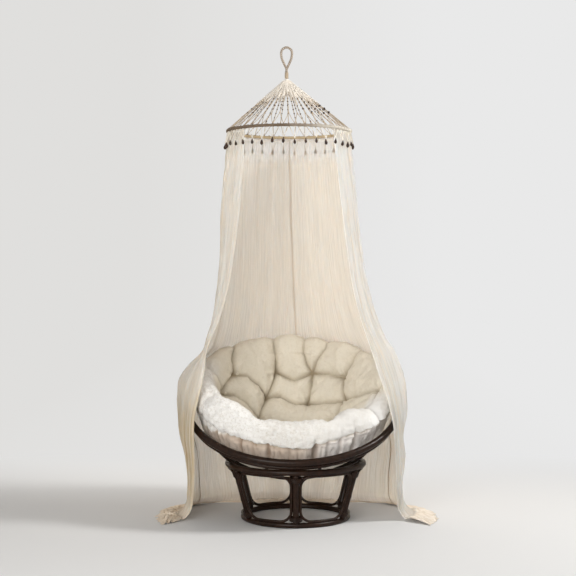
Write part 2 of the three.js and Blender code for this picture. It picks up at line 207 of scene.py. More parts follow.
def gauze_finish(name, light, shade, stitch, glow):
    """Sheer crinkled gauze: denser where it is gathered or hemmed, with a sewn line on each seam; painted
    sunlight on the front wings, painted shade in its folds, its bunches and near the floor.
    """
    finish = Finish(
        name,
        Roughness=0.95,
        Specular_IOR_Level=0.1,
        Subsurface_Weight=glow,
        Subsurface_Scale=0.004,
        Subsurface_Radius=(1.0, 0.9, 0.8),
    )
    places = finish.places("Cloth")
    across, along, _ = finish.axes(places)
    hem, seam, gathered, lying, folded, low, pale = (
        finish.attribute(name) for name in ("hem", "seam", "gathered", "lying", "folded", "low", "pale")
    )
    streaks = finish.noise(places, (95, 2.6, 1), 3.0, 0.6)
    patches = finish.noise(places, (9, 2.2, 1), 2.0)
    wide_folds = finish.noise(places, (38, 0.9, 1), 2.0, 0.7)
    fine_folds = finish.noise(places, (105, 2.4, 1), 1.0)
    folds = (1 - abs(wide_folds - 0.5) * 24).clamped() + (1 - abs(fine_folds - 0.5) * 14).clamped() * 0.5
    folds = folds * (folded * 0.85 + 0.22)

    tone = finish.mix((streaks * 1.6 - 0.3).clamped(), shade, light)
    tone = finish.mix(patches * 0.3, tone, shade)
    # painted sunlight: the front wings, the right one most, are mixed towards a sunlit white
    tone = finish.mix((pale * (0.88 - lying * 0.5)).clamped(), tone, SUNLIT_GAUZE)
    # painted shade: near the floor the cloth is mixed towards a duskier, warmer tone, streaked between
    # LOW_SHADE and LOW_LIGHT
    low_tone = finish.mix((streaks * 1.8 - 0.4).clamped(), LOW_SHADE, LOW_LIGHT)
    tone = finish.mix((low * 0.62).clamped(), tone, low_tone)
    # painted shade: the colour is darkened along the fold lines towards FOLD_SHADE; the same folds also
    # make the cloth denser and shape its bump
    tone = finish.mix((folds * 0.42).clamped(), tone, FOLD_SHADE)
    # painted shade in the bunched cloth, streaked darker towards BUNCH_SHADE
    tone = finish.mix(gathered * (0.34 + (streaks * 2.6 - 0.9).clamped() * 0.9), tone, BUNCH_SHADE)
    tone = finish.mix(seam * 0.8, tone, stitch)

    dense = 0.27 + streaks * 0.30 + patches * 0.14
    dense = dense + hem * 0.14 + seam * 0.4 + gathered * 0.3 + lying * 0.6
    near_top = ((DROPS_AREA - along) * 14.0).clamped()
    dense = dense + folds * 0.16 - near_top * (0.25 - folded * 0.15)
    finish.set(Base_Color=tone, Alpha=dense.clamped())

    weave = (across * (TURN / WEFT_PITCH)).sin() * (along * (TURN / WARP_PITCH)).sin()
    crinkle = finish.noise(places, (120, 5, 1), 3.0, 0.65)
    curls = finish.noise(places, (60, 22, 1), 2.0)
    finish.bump(crinkle + curls * 0.5 + folds * 0.5 + weave * 0.05, 0.0030, 0.9)
    return finish.material


def cord_finish(name, light, shade, pitch):
    """Twisted cotton: the ply runs slantwise round each cord."""
    finish = Finish(name, Roughness=0.92, Specular_IOR_Level=0.15)
    places = finish.places("Cord")
    round_it, along, _ = finish.axes(places)
    ply = (along * (TURN / pitch) + round_it * TURN).sin()
    fuzz = finish.noise(finish.places(), 900, 3.0)
    worn = finish.noise(finish.places(), 14, 2.0)
    # painted shade: the tone is a little darker in the ply's grooves; fuzz and wear vary it at random
    tone = finish.mix((ply * 0.3 + fuzz * 0.5 + worn * 0.5 - 0.15).clamped(), shade, light)
    finish.set(Base_Color=tone)
    finish.bump(ply * 0.6 + fuzz * 0.4, 0.0006, 0.7)
    return finish.material


WINDING_DARK, WINDING_LIGHT = (0.11, 0.078, 0.054), (0.265, 0.20, 0.14)
WINDING_SUNLIT, WINDING_GOLDEN = (0.82, 0.77, 0.68), (0.60, 0.48, 0.31)


def hoop_finish():
    """Cord wound closely round the hoop: painted sunlight makes it paler to the right; golden on its inner
    side.
    """
    finish = Finish("hoop winding", Roughness=0.9, Specular_IOR_Level=0.15)
    places = finish.places()
    x, y, _ = finish.axes(places)
    out = ((x - ASIDE) ** 2.0 + y**2.0) ** 0.5
    inside = ((HOOP_RADIUS - 0.0015 - out) * 400.0).clamped()
    # painted sunlight: towards the right, where the key light falls, the winding is mixed towards a pale
    # sunlit tone
    pale = (x * 3.2 - 0.05 + (finish.noise(places, 9) - 0.5) * 0.5).clamped()
    fuzz = finish.noise(places, 500, 3.0)
    lumps = finish.noise(places, 70, 3.0, 0.6)
    tone = finish.mix((fuzz * 0.6 + lumps * 0.9 - 0.3).clamped(), WINDING_DARK, WINDING_LIGHT)
    tone = finish.mix(pale, tone, WINDING_SUNLIT)
    tone = finish.mix(inside, tone, WINDING_GOLDEN)
    finish.set(Base_Color=tone)
    finish.bump(fuzz, 0.0005, 0.5)
    return finish.material


WOOD_DARK, WOOD_LIGHT = (0.010, 0.005, 0.003), (0.085, 0.040, 0.022)
CANE_DARK, CANE_LIGHT, CANE_SCUFF = (0.008, 0.004, 0.0025), (0.038, 0.017, 0.009), (0.10, 0.052, 0.03)


def wood_finish():
    """Dark oiled wood, with a grain along each drop and one tone lighter or darker than the next."""
    finish = Finish("dark wood", Specular_IOR_Level=0.25)
    places = finish.places()
    grain = finish.noise(places, (260, 260, 38), 3.0)
    each = finish.noise(places, 26, 1.0)
    tone = finish.mix((grain * 0.8 + each * 1.3 - 0.70).clamped(), WOOD_DARK, WOOD_LIGHT)
    finish.set(Base_Color=tone, Roughness=grain * 0.2 + 0.25)
    finish.bump(grain, 0.0004, 0.4)
    return finish.material


def rattan_finish():
    """Dark lacquered cane: long streaks, a scuff here and there, a soft shine."""
    finish = Finish("dark rattan", Specular_IOR_Level=0.16)
    places = finish.places()
    streaks = finish.noise(places, (60, 60, 24), 4.0, 0.6)
    scuffs = finish.noise(places, 38, 4.0, 0.7)
    tone = finish.mix((streaks * 1.5 - 0.4).clamped(), CANE_DARK, CANE_LIGHT)
    tone = finish.mix(((scuffs - 0.62) * 6.0).clamped() * 0.5, tone, CANE_SCUFF)
    finish.set(Base_Color=tone, Roughness=streaks * 0.22 + 0.22)
    finish.bump(streaks * 0.7 + scuffs * 0.3, 0.0008, 0.5)
    return finish.material


SEAT_SHADE, SEAT_LIGHT = (0.765, 0.71, 0.60), (0.86, 0.815, 0.71)
SEAT_WRINKLE_SHADE, SEAT_CREASE_SHADE = (0.60, 0.53, 0.41), (0.36, 0.28, 0.17)
WOOL_SHADE, WOOL_LIGHT = (0.77, 0.735, 0.68), (0.865, 0.855, 0.83)
WOOL_DULL, WOOL_PAINTED_LIGHT = (0.74, 0.72, 0.69), (0.985, 0.975, 0.95)
WOOL_CURL_SHADE, WOOL_CREASE_SHADE = (0.56, 0.50, 0.42), (0.50, 0.44, 0.37)
BAND_SHADE, BAND_LIGHT = (0.57, 0.46, 0.37), (0.71, 0.61, 0.52)
BAND_PAINTED_LIGHT, BAND_CREASE_SHADE = (0.97, 0.925, 0.885), (0.27, 0.18, 0.12)


def cushion_finish():
    """Tufted seat in woven cotton, a fleecy front roll and a gathered side band, with painted shade in its
    creases, tufts, wrinkles and curls and painted light at the roll's ends and on the band's right.
    """
    finish = Finish("cushion cloth", Roughness=0.95, Specular_IOR_Level=0.1, Sheen_Weight=0.1)
    places = finish.places()
    x, _, _ = finish.axes(places)
    fleece, curly, band, paler, crease = (
        finish.attribute(name) for name in ("fleece", "curly", "band", "paler", "crease")
    )
    mottle = finish.noise(places, 16, 3.0)
    curls = finish.noise(places, 48, 3.0, 0.6)
    clumps = finish.noise(places, 85, 6.0, 0.8)
    nap = finish.noise(places, 150, 4.0, 0.7)
    thread = finish.noise(places, (900, 900, 260), 2.0)
    wrinkles = finish.noise(places, 75, 4.0, 0.65)

    seat = finish.mix(mottle, SEAT_SHADE, SEAT_LIGHT)
    # painted shade: darker patches where the wrinkle noise is high, for shade in the seat's wrinkles
    seat = finish.mix((wrinkles * 3.0 - 1.5).clamped() * 0.45, seat, SEAT_WRINKLE_SHADE)
    # painted shade in the creases, the tufts and the seam, from the crease attribute
    seat = finish.mix((crease * 0.82).clamped(), seat, SEAT_CREASE_SHADE)

    # painted shade: the fleece is darker where its curls dip, and dark specks are put among the curly
    # fleece on the left
    wool = finish.mix((curls * 2.0 - 0.45).clamped(), WOOL_SHADE, WOOL_LIGHT)
    wool = finish.mix((1 - abs(x - 0.29) * 6.0).clamped() * 0.6, wool, WOOL_DULL)
    # painted light: the left part and the right end of the roll are mixed towards a bright white
    ends = ((-0.06 - x) * 8.0).clamped() * 0.7 + ((x - 0.37) * 20.0).clamped() * 0.9
    wool = finish.mix(ends, wool, WOOL_PAINTED_LIGHT)
    wool = finish.mix(((clumps - 0.50) * 9.0).clamped() * curly * 0.42, wool, WOOL_CURL_SHADE)
    wool = finish.mix(crease * 0.5, wool, WOOL_CREASE_SHADE)

    side = finish.mix(mottle, BAND_SHADE, BAND_LIGHT)
    # painted light: the band is paler towards the right, where the key light falls, and its painted crease
    # shade is weaker there
    side = finish.mix(paler * 0.95, side, BAND_PAINTED_LIGHT)
    side = finish.mix(crease * (0.8 - paler * 0.3), side, BAND_CREASE_SHADE)

    finish.set(Base_Color=finish.mix(band, finish.mix(fleece, seat, wool), side))
    woven = (thread * 0.35 + wrinkles * 0.9) * (1 - fleece)
    woolly = nap * (fleece * 0.9 + 0.3) + (curls + clumps) * fleece * 1.2
    finish.bump(woven + woolly, 0.0035, 0.9)
    return finish.material


stitches = (0.30, 0.20, 0.12)
gauze = gauze_finish("gauze", (0.97, 0.875, 0.765), (0.90, 0.765, 0.64), stitches, 1.0)
# the cloth that lies on the floor takes a darker copy of the gauze's tones, painted shade, and no glow
shaded_lying_gauze = gauze_finish("gauze on the floor", (0.90, 0.83, 0.74), (0.76, 0.65, 0.53), stitches, 0.0)
cotton = cord_finish("cotton cord", (0.98, 0.955, 0.91), (0.84, 0.76, 0.66), 0.012)
white_cotton = cord_finish("white cotton cord", (0.93, 0.90, 0.84), (0.80, 0.74, 0.64), 0.008)
# darker tan cord: the real tan of the lashing, and painted shade on the lower parts of the crown's cords
tan_and_shaded_cotton = cord_finish("tan and shaded cotton cord", (0.72, 0.61, 0.47), (0.42, 0.32, 0.22), 0.010)
rope_cotton = cord_finish("rope", (0.58, 0.51, 0.43), (0.30, 0.24, 0.19), 0.010)
fine_stitching = cord_finish("fine stitching", (0.66, 0.55, 0.42), (0.50, 0.40, 0.28), 0.010)
stitching = cord_finish("stitching", (0.46, 0.35, 0.24), (0.29, 0.21, 0.13), 0.010)
winding = hoop_finish()
wood = wood_finish()
rattan = rattan_finish()
cushion_cloth = cushion_finish()


# ---------- Mesh helpers ----------


def mesh_piece(name, points, faces, material, maps=None, attributes=None):
    """A piece of the object from its points and faces; maps holds a value pair for each point."""
    mesh = bpy.data.meshes.new(name)
    mesh.from_pydata([tuple(p) for p in points], [], faces)
    mesh.materials.append(material)
    mesh.polygons.foreach_set("use_smooth", [True] * len(mesh.polygons))
    corners = np.zeros(len(mesh.loops), np.int32)
    mesh.loops.foreach_get("vertex_index", corners)
    for key, values in (maps or {}).items():
        layer = mesh.uv_layers.new(name=key)
        layer.data.foreach_set("uv", np.asarray(values, np.float32).reshape(-1, 2)[corners].ravel())
    for key, values in (attributes or {}).items():
        layer = mesh.attributes.new(key, "FLOAT", "POINT")
        layer.data.foreach_set("value", np.asarray(values, np.float32).ravel())
    mesh.validate()
    piece = bpy.data.objects.new(name, mesh)
    scene.collection.objects.link(piece)
    return piece


def grid_faces(rows, columns, closed=False):
    """Quads of a grid of points stored row by row; closed joins the last column to the first."""
    faces = []
    for row in range(rows - 1):
        for column in range(columns if closed else columns - 1):
            here = row * columns + column
            beside = row * columns + (column + 1) % columns
            faces.append((here, beside, beside + columns, here + columns))
    return faces


class Strands:
    """Tubes gathered into one mesh: cords, strands, whippings and knots."""

    def __init__(self):
        self.points = []
        self.faces = []
        self.map = []

    def tube(self, path, radius, sides=6, ply=0, pitch=0.01, closed=False):
        """A tube along path. With ply, its section is that of a twisted cord of ply strands."""
        path = np.asarray(path, float)
        ahead = np.roll(path, -1, 0) - path
        ahead = ahead if closed else np.vstack([ahead[:-1], ahead[-2]])
        behind = path - np.roll(path, 1, 0)
        behind = behind if closed else np.vstack([behind[1], behind[1:]])
        heading = ahead + behind
        heading /= np.linalg.norm(heading, axis=1)[:, None]
        side = np.cross(heading[0], (0, 0, 1) if abs(heading[0][2]) < 0.9 else (1, 0, 0))
        travelled = 0.0
        start = len(self.points)
        for i, place in enumerate(path):
            side = side - heading[i] * side.dot(heading[i])
            side /= np.linalg.norm(side)
            other = np.cross(heading[i], side)
            if i:
                travelled += np.linalg.norm(place - path[i - 1])
            thick = radius[i] if hasattr(radius, "__len__") else radius
            for j in range(sides):
                angle = TURN * j / sides
                swell = 1.0
                if ply:
                    swell = 0.80 + 0.20 * abs(math.cos(ply / 2 * (angle - TURN * travelled / pitch)))
                spoke = side * math.cos(angle) + other * math.sin(angle)
                self.points.append(place + spoke * thick * swell)
                self.map.append((j / sides, travelled))
        rings = len(path)
        for i in range(rings if closed else rings - 1):
            here = start + i * sides
            there = start + (i + 1) % rings * sides
            for j in range(sides):
                beside = (j + 1) % sides
                self.faces.append((here + j, here + beside, there + beside, there + j))
        if not closed:
            self.faces.append(tuple(start + j for j in reversed(range(sides))))
            last = start + (rings - 1) * sides
            self.faces.append(tuple(last + j for j in range(sides)))

    def ball(self, centre, radius, tall=1.0):
        """A small round knot."""
        rise = [math.cos(math.pi * (i + 0.5) / 5) for i in range(5)]
        path = [Vector(centre) + Vector((0, 0, -radius * tall * r)) for r in rise]
        self.tube(path, [radius * math.sqrt(1 - r * r) for r in rise], 6)

    def piece(self, name, material, slot, *nodes):
        made = mesh_piece(name, self.points, self.faces, material, {"Cord": self.map})
        return settled(made, slot, *nodes)


def settled(piece, slot, *nodes):
    """Hangs a finished piece on the body and hides the nodes that it stands for; slot is not used."""
    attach(piece, "root")
    if nodes:
        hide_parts(*nodes)
    return piece


def only(piece):
    clear_selection()
    piece.select_set(True)
    bpy.context.view_layer.objects.active = piece


def finished(piece, material):
    """Gives the selected piece its material and smooth shading, and lets go of it."""
    piece.data.materials.append(material)
    bpy.ops.object.shade_smooth()
    clear_selection()


def joined(pieces, name):
    only(pieces[0])
    for piece in pieces:
        piece.select_set(True)
    bpy.ops.object.join()
    made = bpy.context.object
    made.name = name
    clear_selection()
    return made


def cane(path, thick, closed=False):
    """A cane bent along a path: a curve with a round section, made a mesh."""
    curve = bpy.data.curves.new("cane", "CURVE")
    curve.dimensions = "3D"
    curve.bevel_depth = thick / 2
    curve.bevel_resolution = 3
    curve.use_fill_caps = True
    spline = curve.splines.new("POLY")
    spline.points.add(len(path) - 1)
    for point, place in zip(spline.points, path):
        point.co = (*place, 1)
    spline.use_cyclic_u = closed
    bent = bpy.data.objects.new("cane", curve)
    scene.collection.objects.link(bent)
    only(bent)
    bpy.ops.object.convert(target="MESH")
    bent = bpy.context.object
    finished(bent, rattan)
    return bent


def copied(piece):
    """A copy of a piece, with a mesh of its own."""
    made = piece.copy()
    made.data = piece.data.copy()
    scene.collection.objects.link(made)
    return made


def place_in_mesh():
    """Puts the selected object's place, turn and size into its mesh."""
    bpy.ops.object.transform_apply(location=True, rotation=True, scale=True)


def smooth_points(points, count):
    """Points evenly along a smooth curve through the given ones."""
    given = np.asarray(points, float)
    padded = np.vstack([2 * given[0] - given[1], given, 2 * given[-1] - given[-2]])
    fine = []
    for i in range(1, len(padded) - 2):
        before, start, end, after = padded[i - 1 : i + 3]
        for t in np.linspace(0, 1, 20, endpoint=False):
            fine.append(
                0.5 * (2 * start + (end - before) * t
                + (2 * before - 5 * start + 4 * end - after) * t**2
                + (3 * start - before - 3 * end + after) * t**3)
            )
    fine = np.array([*fine, given[-1]])
    run = np.concatenate([[0], np.cumsum(np.linalg.norm(np.diff(fine, axis=0), axis=1))])
    evenly = np.linspace(0, run[-1], count)
    return np.column_stack([np.interp(evenly, run, fine[:, k]) for k in range(3)])


# ---------- Curtain ----------

# Sections of the hung cloth, as in the solids: reach to each side at the depth of the middle,
# the place of the back, the places of the two front edges, and the depth of the folds.
SECTION_NAMES = ("height", "left", "right", "middle", "back", "left_edge", "right_edge", "front", "pleat")
SECTIONS = (
    (1.8938, 0.2968, 0.2968, 0.000, 0.2968, 0.210, 0.210, -0.210, 0.000),
    (1.740, 0.308, 0.311, 0.005, 0.345, 0.219, 0.221, -0.208, 0.005),
    (1.560, 0.324, 0.328, 0.020, 0.400, 0.234, 0.240, -0.205, 0.007),
    (1.320, 0.330, 0.354, 0.045, 0.474, 0.261, 0.271, -0.205, 0.007),
    (1.120, 0.348, 0.392, 0.065, 0.538, 0.296, 0.302, -0.205, 0.007),
    (0.980, 0.371, 0.434, 0.085, 0.584, 0.337, 0.338, -0.203, 0.007),
    (0.880, 0.397, 0.479, 0.100, 0.618, 0.380, 0.372, -0.200, 0.006),
    (0.820, 0.420, 0.518, 0.108, 0.638, 0.398, 0.393, -0.196, 0.005),
    (0.750, 0.493, 0.549, 0.115, 0.650, 0.404, 0.415, -0.192, 0.005),
    (0.680, 0.542, 0.570, 0.120, 0.652, 0.416, 0.438, -0.187, 0.006),
    (0.600, 0.552, 0.582, 0.120, 0.648, 0.437, 0.464, -0.183, 0.007),
    (0.500, 0.549, 0.581, 0.120, 0.642, 0.455, 0.490, -0.176, 0.007),
    (0.400, 0.539, 0.562, 0.120, 0.636, 0.460, 0.503, -0.166, 0.008),
    (0.300, 0.514, 0.573, 0.120, 0.630, 0.458, 0.508, -0.146, 0.008),
    (0.150, 0.499, 0.558, 0.120, 0.620, 0.464, 0.520, -0.100, 0.008),
    (0.040, 0.504, 0.572, 0.120, 0.610, 0.476, 0.530, -0.062, 0.006),
    (0.010, 0.508, 0.578, 0.120, 0.607, 0.480, 0.535, -0.050, 0.004),
)
COLUMNS = {name: np.array(column) for name, column in zip(SECTION_NAMES, zip(*SECTIONS))}
TOP = SECTIONS[0][0]
BOTTOM = SECTIONS[-1][0]
TRAIN = {"left": 0.138, "right": 0.142, "back": -0.275, "left_edge": 0.170, "right_edge": 0.190}
FLOOR_BEND = 0.080  # the bend in which the sides turn outwards from hanging to lying
BACK_SWEEP = -0.15  # how far the back cloth curves forward before it reaches the floor
FOLD_COUNT = 20
SIDE_TURN = 2 / 3  # the cloth's own measure, -1 to 1, at which a side faces straight outwards
WING_END = QUARTER * (1 / SIDE_TURN - 1)
CLOTH = 0.0010  # thickness of the gauze
HUNG_ROWS = 190
FLOOR_ROWS = 44
PANEL_COLUMNS = 132
CRINKLE = 0.0032
RIDGE = 0.0060
SEAM_DRIFT = 0.046  # the seam at the back wanders to the right on its way down


def along_height(name, heights):
    """A column of the table at any height, on a smooth curve."""
    known, values = COLUMNS["height"][::-1], COLUMNS[name][::-1]
    slopes = np.gradient(values, known)
    i = np.clip(np.searchsorted(known, heights) - 1, 0, len(known) - 2)
    gap = known[i + 1] - known[i]
    t = (heights - known[i]) / gap
    return (
        (1 + 2 * t) * (1 - t) ** 2 * values[i] + t * (1 - t) ** 2 * gap * slopes[i]
        + t * t * (3 - 2 * t) * values[i + 1] + t * t * (t - 1) * gap * slopes[i + 1]
    )


def fold_wave(measure):
    drift = 1.1 * np.sin(2.7 * math.pi * measure)
    swell = 0.72 + 0.28 * np.cos(4.3 * measure + 0.6)
    return swell * np.sin(FOLD_COUNT * math.pi * measure + drift)


def noise_field(a, b, seed):
    field = np.array([noise.noise((x, y, seed)) for x, y in zip(a.ravel(), b.ravel())])
    return field.reshape(a.shape)


def edge_fade(m, first, last):
    """1 inside a panel and 0 at its two sides, so that neighbours keep meeting."""
    return np.clip(np.minimum(m - first, last - m) * 30, 0, 1)


def far_aside(m):
    """0 over the back of the canopy and 1 from its sides to the front edges."""
    return np.clip((np.abs(m) - 0.42) / 0.2, 0, 1)


def crinkled(m, down, edges):
    """Fine crinkles and sharper ridges, which run down the cloth and fade in below the hoop."""
    hanging = np.clip(down * 9, 0, 1)
    fine = noise_field(m * 42, down * 2.2, 1.3) + 0.7 * noise_field(m * 95, down * 7, 5.9)
    wide = noise_field(m * 24 + 0.4 * np.sin(down * 3), down * 0.8, 4.8)
    narrow = noise_field(m * 52, down * 1.5, 8.4)
    ridge = np.clip(1 - 2.6 * np.abs(wide), 0, 1) ** 2 + 0.6 * np.clip(1 - 3 * np.abs(narrow), 0, 1) ** 2
    return CRINKLE * hanging * fine + RIDGE * ridge * hanging * (0.25 + 0.75 * far_aside(m)) * edges


def curtain_grid(first, last):
    """The cloth from one measure to the other, row by row down to the end of its train."""
    hung = np.linspace(0, 1, HUNG_ROWS)
    heights = np.concatenate([TOP + (BOTTOM - TOP) * hung, np.full(FLOOR_ROWS, BOTTOM)])
    run = np.concatenate([np.zeros(HUNG_ROWS), np.linspace(0, 1, FLOOR_ROWS + 1)[1:] ** 1.2])
    m, h = np.meshgrid(np.linspace(first, last, PANEL_COLUMNS), heights)
    s = np.repeat(run[:, None], PANEL_COLUMNS, 1)
    down = (TOP - h) + 0.25 * s
    edges = edge_fade(m, first, last)
    m = m + 0.006 * noise_field(m * 7, down * 1.6, 3.1) * np.clip(down * 3, 0, 1) * edges
    m = m + SEAM_DRIFT * np.clip(down / 1.35, 0, 1) * np.exp(-((m / 0.22) ** 2))

    # the section of the hung cloth at each height, with its wings turned in to the front edges
    on_left = m < 0
    reach = np.where(on_left, along_height("left", h), along_height("right", h))
    edge = np.where(on_left, along_height("left_edge", h), along_height("right_edge", h))
    middle, back, front = (along_height(name, h) for name in ("middle", "back", "front"))
    turn = np.abs(m) / SIDE_TURN * QUARTER
    wing = np.maximum(turn - QUARTER, 0)
    quarter = np.minimum(turn, QUARTER)
    wing_in = (1 - np.cos(wing)) / (1 - math.cos(WING_END))
    wing_on = np.sin(wing) / math.sin(WING_END)
    across = reach * np.sin(quarter) - (reach - edge) * wing_in
    depth = middle + (back - middle) * np.cos(quarter) - (middle - front) * wing_on
    uneven = 0.85 + 0.45 * noise_field(m * 5, down * 1.3, 7.7)
    folds = along_height("pleat", h) * fold_wave(m) * uneven * (1 + 0.9 * wing_on)
    crinkles = crinkled(m, down, edge_fade(m, first, last))

    # the train: how far it runs out over the floor, and the bend in which it starts
    side_train = np.where(on_left, TRAIN["left"], TRAIN["right"])
    edge_train = np.where(on_left, TRAIN["left_edge"], TRAIN["right_edge"])
    train = side_train + (edge_train - side_train) * wing_on
    train = train * np.sin(quarter) ** 2 + (TRAIN["back"] - BACK_SWEEP) * np.cos(quarter) ** 2
    train = train * (1 + 0.16 * noise_field(m * 17, s, 9.1) + 0.05 * noise_field(m * 50, s, 9.7))
    sweep = BACK_SWEEP * np.cos(quarter) ** 2 * np.clip(1 - (h - 0.01) / 0.19, 0, 1) ** 2.2
    bend = FLOOR_BEND * np.sin(quarter) ** 2
    bent = bend - np.sqrt(np.maximum(bend**2 - np.maximum(bend - h, 0) ** 2, 0))
    offset = folds + crinkles + sweep + bent + (train - bent) * s

    # the lying cloth heaps up in small ridges, fewer and softer on the right
    heap = np.clip(np.sin(math.pi * s**0.8) * np.abs(train) / 0.14, 0, 1)
    crumpled = np.where(m < 0.45, 1.0, 0.28)
    ripple = 1 - np.abs(noise_field(m * 22 + s * 3 * crumpled, s * 3.2 * crumpled, 2.2)) * 2.4
    ripple = ripple + 0.25 * noise_field(m * 50, s * 8 * crumpled, 4.2)
    lift = np.clip(0.020 * ripple, 0, 0.032) * heap + 0.0075 * (1 - s) ** 3
    offset = offset + 0.008 * crumpled * noise_field(m * 26, s * 5, 6.6) * heap
    height = np.where(s > 0, 0.0022 + lift, h)
    x = np.where(on_left, -1, 1) * (across + np.sin(turn) * offset)
    y = depth + np.cos(turn) * offset
    return np.stack([x + ASIDE, y, height + FLOOR], -1), m, s


def bunched(height, m):
    """Where the cloth bunches: under the left shoulder, and a little under the right one; it is denser
    there, with painted shade on its colour.
    """
    left_wing = np.clip((-0.60 - m) / 0.12, 0, 1)
    left_edge = np.clip((-0.66 - m) / 0.12, 0, 1)
    left = np.exp(-(((height - 0.44) / 0.18) ** 2)) * left_wing
    left_low = 0.7 * np.clip((0.42 - height) / 0.15, 0, 1) * np.clip((height - 0.02) / 0.10, 0, 1)
    right = 0.15 * np.exp(-(((height - 0.50) / 0.12) ** 2)) * np.clip((m - 0.66) / 0.12, 0, 1)
    floor = 0.10 * np.clip((0.05 - height) / 0.04, 0, 1) * (m < 0)
    return np.clip(left + left_low * left_edge + right + floor, 0, 1)


def painted_low_shade(height, m, s):
    """Painted shade near the floor, a duskier and warmer tone, with less of it on the sunlit right wing."""
    right_wing = np.clip(s * 4 + (m - 0.5) * 8, 0, 1)
    return np.clip((0.80 - height) / 0.40, 0, 1) * np.where(m > 0.5, 1 - 0.60 * right_wing, 1)


def sunlit(m):
    """Painted sunlight on the front wings, most of all on the right one."""
    return np.where(m > 0, np.clip((m - 0.50) / 0.14, 0, 1), np.clip((-0.72 - m) / 0.12, 0, 0.7))


# Panels: where each starts and ends in the cloth's own measure, and the size and area of its cut,
# a gore that is narrower at the hoop.
PANELS = (
    ("curtain_left_front", -1.0, -0.5, (0.60, 2.15), 1.02),
    ("curtain_left_back", -0.5, 0.0, (0.74, 1.92), 1.10),
    ("curtain_right_back", 0.0, 0.5, (0.74, 1.92), 1.10),
    ("curtain_right_front", 0.5, 1.0, (0.64, 2.15), 1.08),
)


def curtain_panel(name, first, last, flat):
    points, m, s = curtain_grid(first, last)
    rows, columns = m.shape
    height = points[..., 2] - FLOOR
    widths = np.linalg.norm(np.diff(points, axis=1), axis=2)
    across = np.concatenate([np.zeros((rows, 1)), np.cumsum(widths, 1)], 1)
    lengths = np.linalg.norm(np.diff(points, axis=0), axis=2)
    along = np.concatenate([np.zeros((1, columns)), np.cumsum(lengths, 0)], 0)
    wide = across[:, -1:]
    # hems at the top and the bottom, and along the front edge of a front panel
    hem = np.maximum(along[-1:, :] - along < 0.018, along < 0.012)
    if abs(first) == 1.0 or last == 1.0:
        from_front = across if first == -1.0 else wide - across
        hem = np.maximum(hem, from_front < 0.012)
    # a sewn line on each side that meets the next panel, fainter at the centre of the back
    seam = np.zeros_like(m)
    for sewn, apart in ((first, across), (last, wide - across)):
        if abs(sewn) < 1.0:
            strength = 0.4 if sewn == 0 else 1
            seam = np.maximum(seam, strength * np.clip(1 - apart / 0.005, 0, 1))
    mapped = across / wide * flat[0] + (first + 1) * 1.4
    attributes = {
        "hem": hem,
        "seam": seam,
        "gathered": bunched(height, m),
        "lying": np.clip(s * 4, 0, 1),
        "folded": far_aside(m),
        "low": painted_low_shade(height, m, s),
        "pale": sunlit(m),
    }
    cloth_map = {"Cloth": np.stack([mapped, along], -1)}
    faces = grid_faces(rows, columns)
    cloth = mesh_piece(
        name.replace("curtain", "gauze"), points.reshape(-1, 3), faces, gauze, cloth_map, attributes
    )
    cloth.data.materials.append(shaded_lying_gauze)
    for face in cloth.data.polygons[(HUNG_ROWS - 4) * (columns - 1) :]:
        face.material_index = 1
    shell = cloth.modifiers.new("thickness", "SOLIDIFY")
    shell.thickness = CLOTH
    shell.offset = 0
    only(cloth)
    bpy.ops.object.modifier_apply(modifier=shell.name)
    settled(cloth, "gauze", name)
    return points


# ---------- Hoop ----------

WINDING_RINGS = 900
SUNK_RING = 0.90  # every other ring is sunk to this, as a groove between two turns of cord
HITCHES = 72

bpy.ops.mesh.primitive_torus_add(
    major_segments=WINDING_RINGS,
    minor_segments=10,
    major_radius=HOOP_RADIUS,
    minor_radius=HOOP_THICK / 2,
    location=at(0, 0, HOOP_HEIGHT),
)
hoop = bpy.context.object
hoop.name = "hoop_winding"
place_in_mesh()
axis = at(0, 0, HOOP_HEIGHT)
for vertex in hoop.data.vertices:
    out = Vector((vertex.co.x - axis.x, vertex.co.y, 0))
    heart = axis + out.normalized() * HOOP_RADIUS
    if round(math.atan2(out.y, out.x) / TURN * WINDING_RINGS) % 2:
        vertex.co = heart + (vertex.co - heart) * SUNK_RING
finished(hoop, winding)
settled(hoop, "wrapped_cord", "hoop")

hitches = Strands()
for i in range(HITCHES):
    angle = TURN * i / HITCHES
    loose = 0.0088 + 0.0008 * math.sin(i * 5.3)
    slant = 0.004 + 0.003 * math.sin(i * 2.9)
    lap = []
    for step in range(14):
        swing = TURN * step / 14
        out = HOOP_RADIUS + loose * math.cos(swing)
        turned = angle + slant * math.sin(swing / 2)
        level = HOOP_HEIGHT + loose * math.sin(swing)
        lap.append(at(out * math.sin(turned), out * math.cos(turned), level))
    hitches.tube(lap, 0.0016 + 0.0005 * math.sin(i * 3.7), 5, closed=True)
hitches.piece("hoop_hitches", winding, "wrapped_cord")

# the panels, and the stitching behind the three seams where one meets the next
side_seams, back_seam = Strands(), Strands()
for name, first, last, flat, area in PANELS:
    points = curtain_panel(name, first, last, flat)
    if last == 1.0:
        continue
    sewn, wandering, thread = (back_seam, 0.0055, 0.0008) if last == 0.0 else (side_seams, 0.0035, 0.0013)
    line = points[:HUNG_ROWS:2, -1].copy()
    wander = wandering * noise_field(np.arange(len(line)) * 0.21, np.full(len(line), last), 3.0)
    line += np.stack([wander, np.full(len(line), -0.0024), wander * 0], -1)
    sewn.tube(line, thread, 5)
side_seams.piece("seam_stitching", stitching, "gauze")
back_seam.piece("back_seam_stitching", fine_stitching, "gauze")


# ---------- Crown: knotted cords, beads and hanging loop ----------

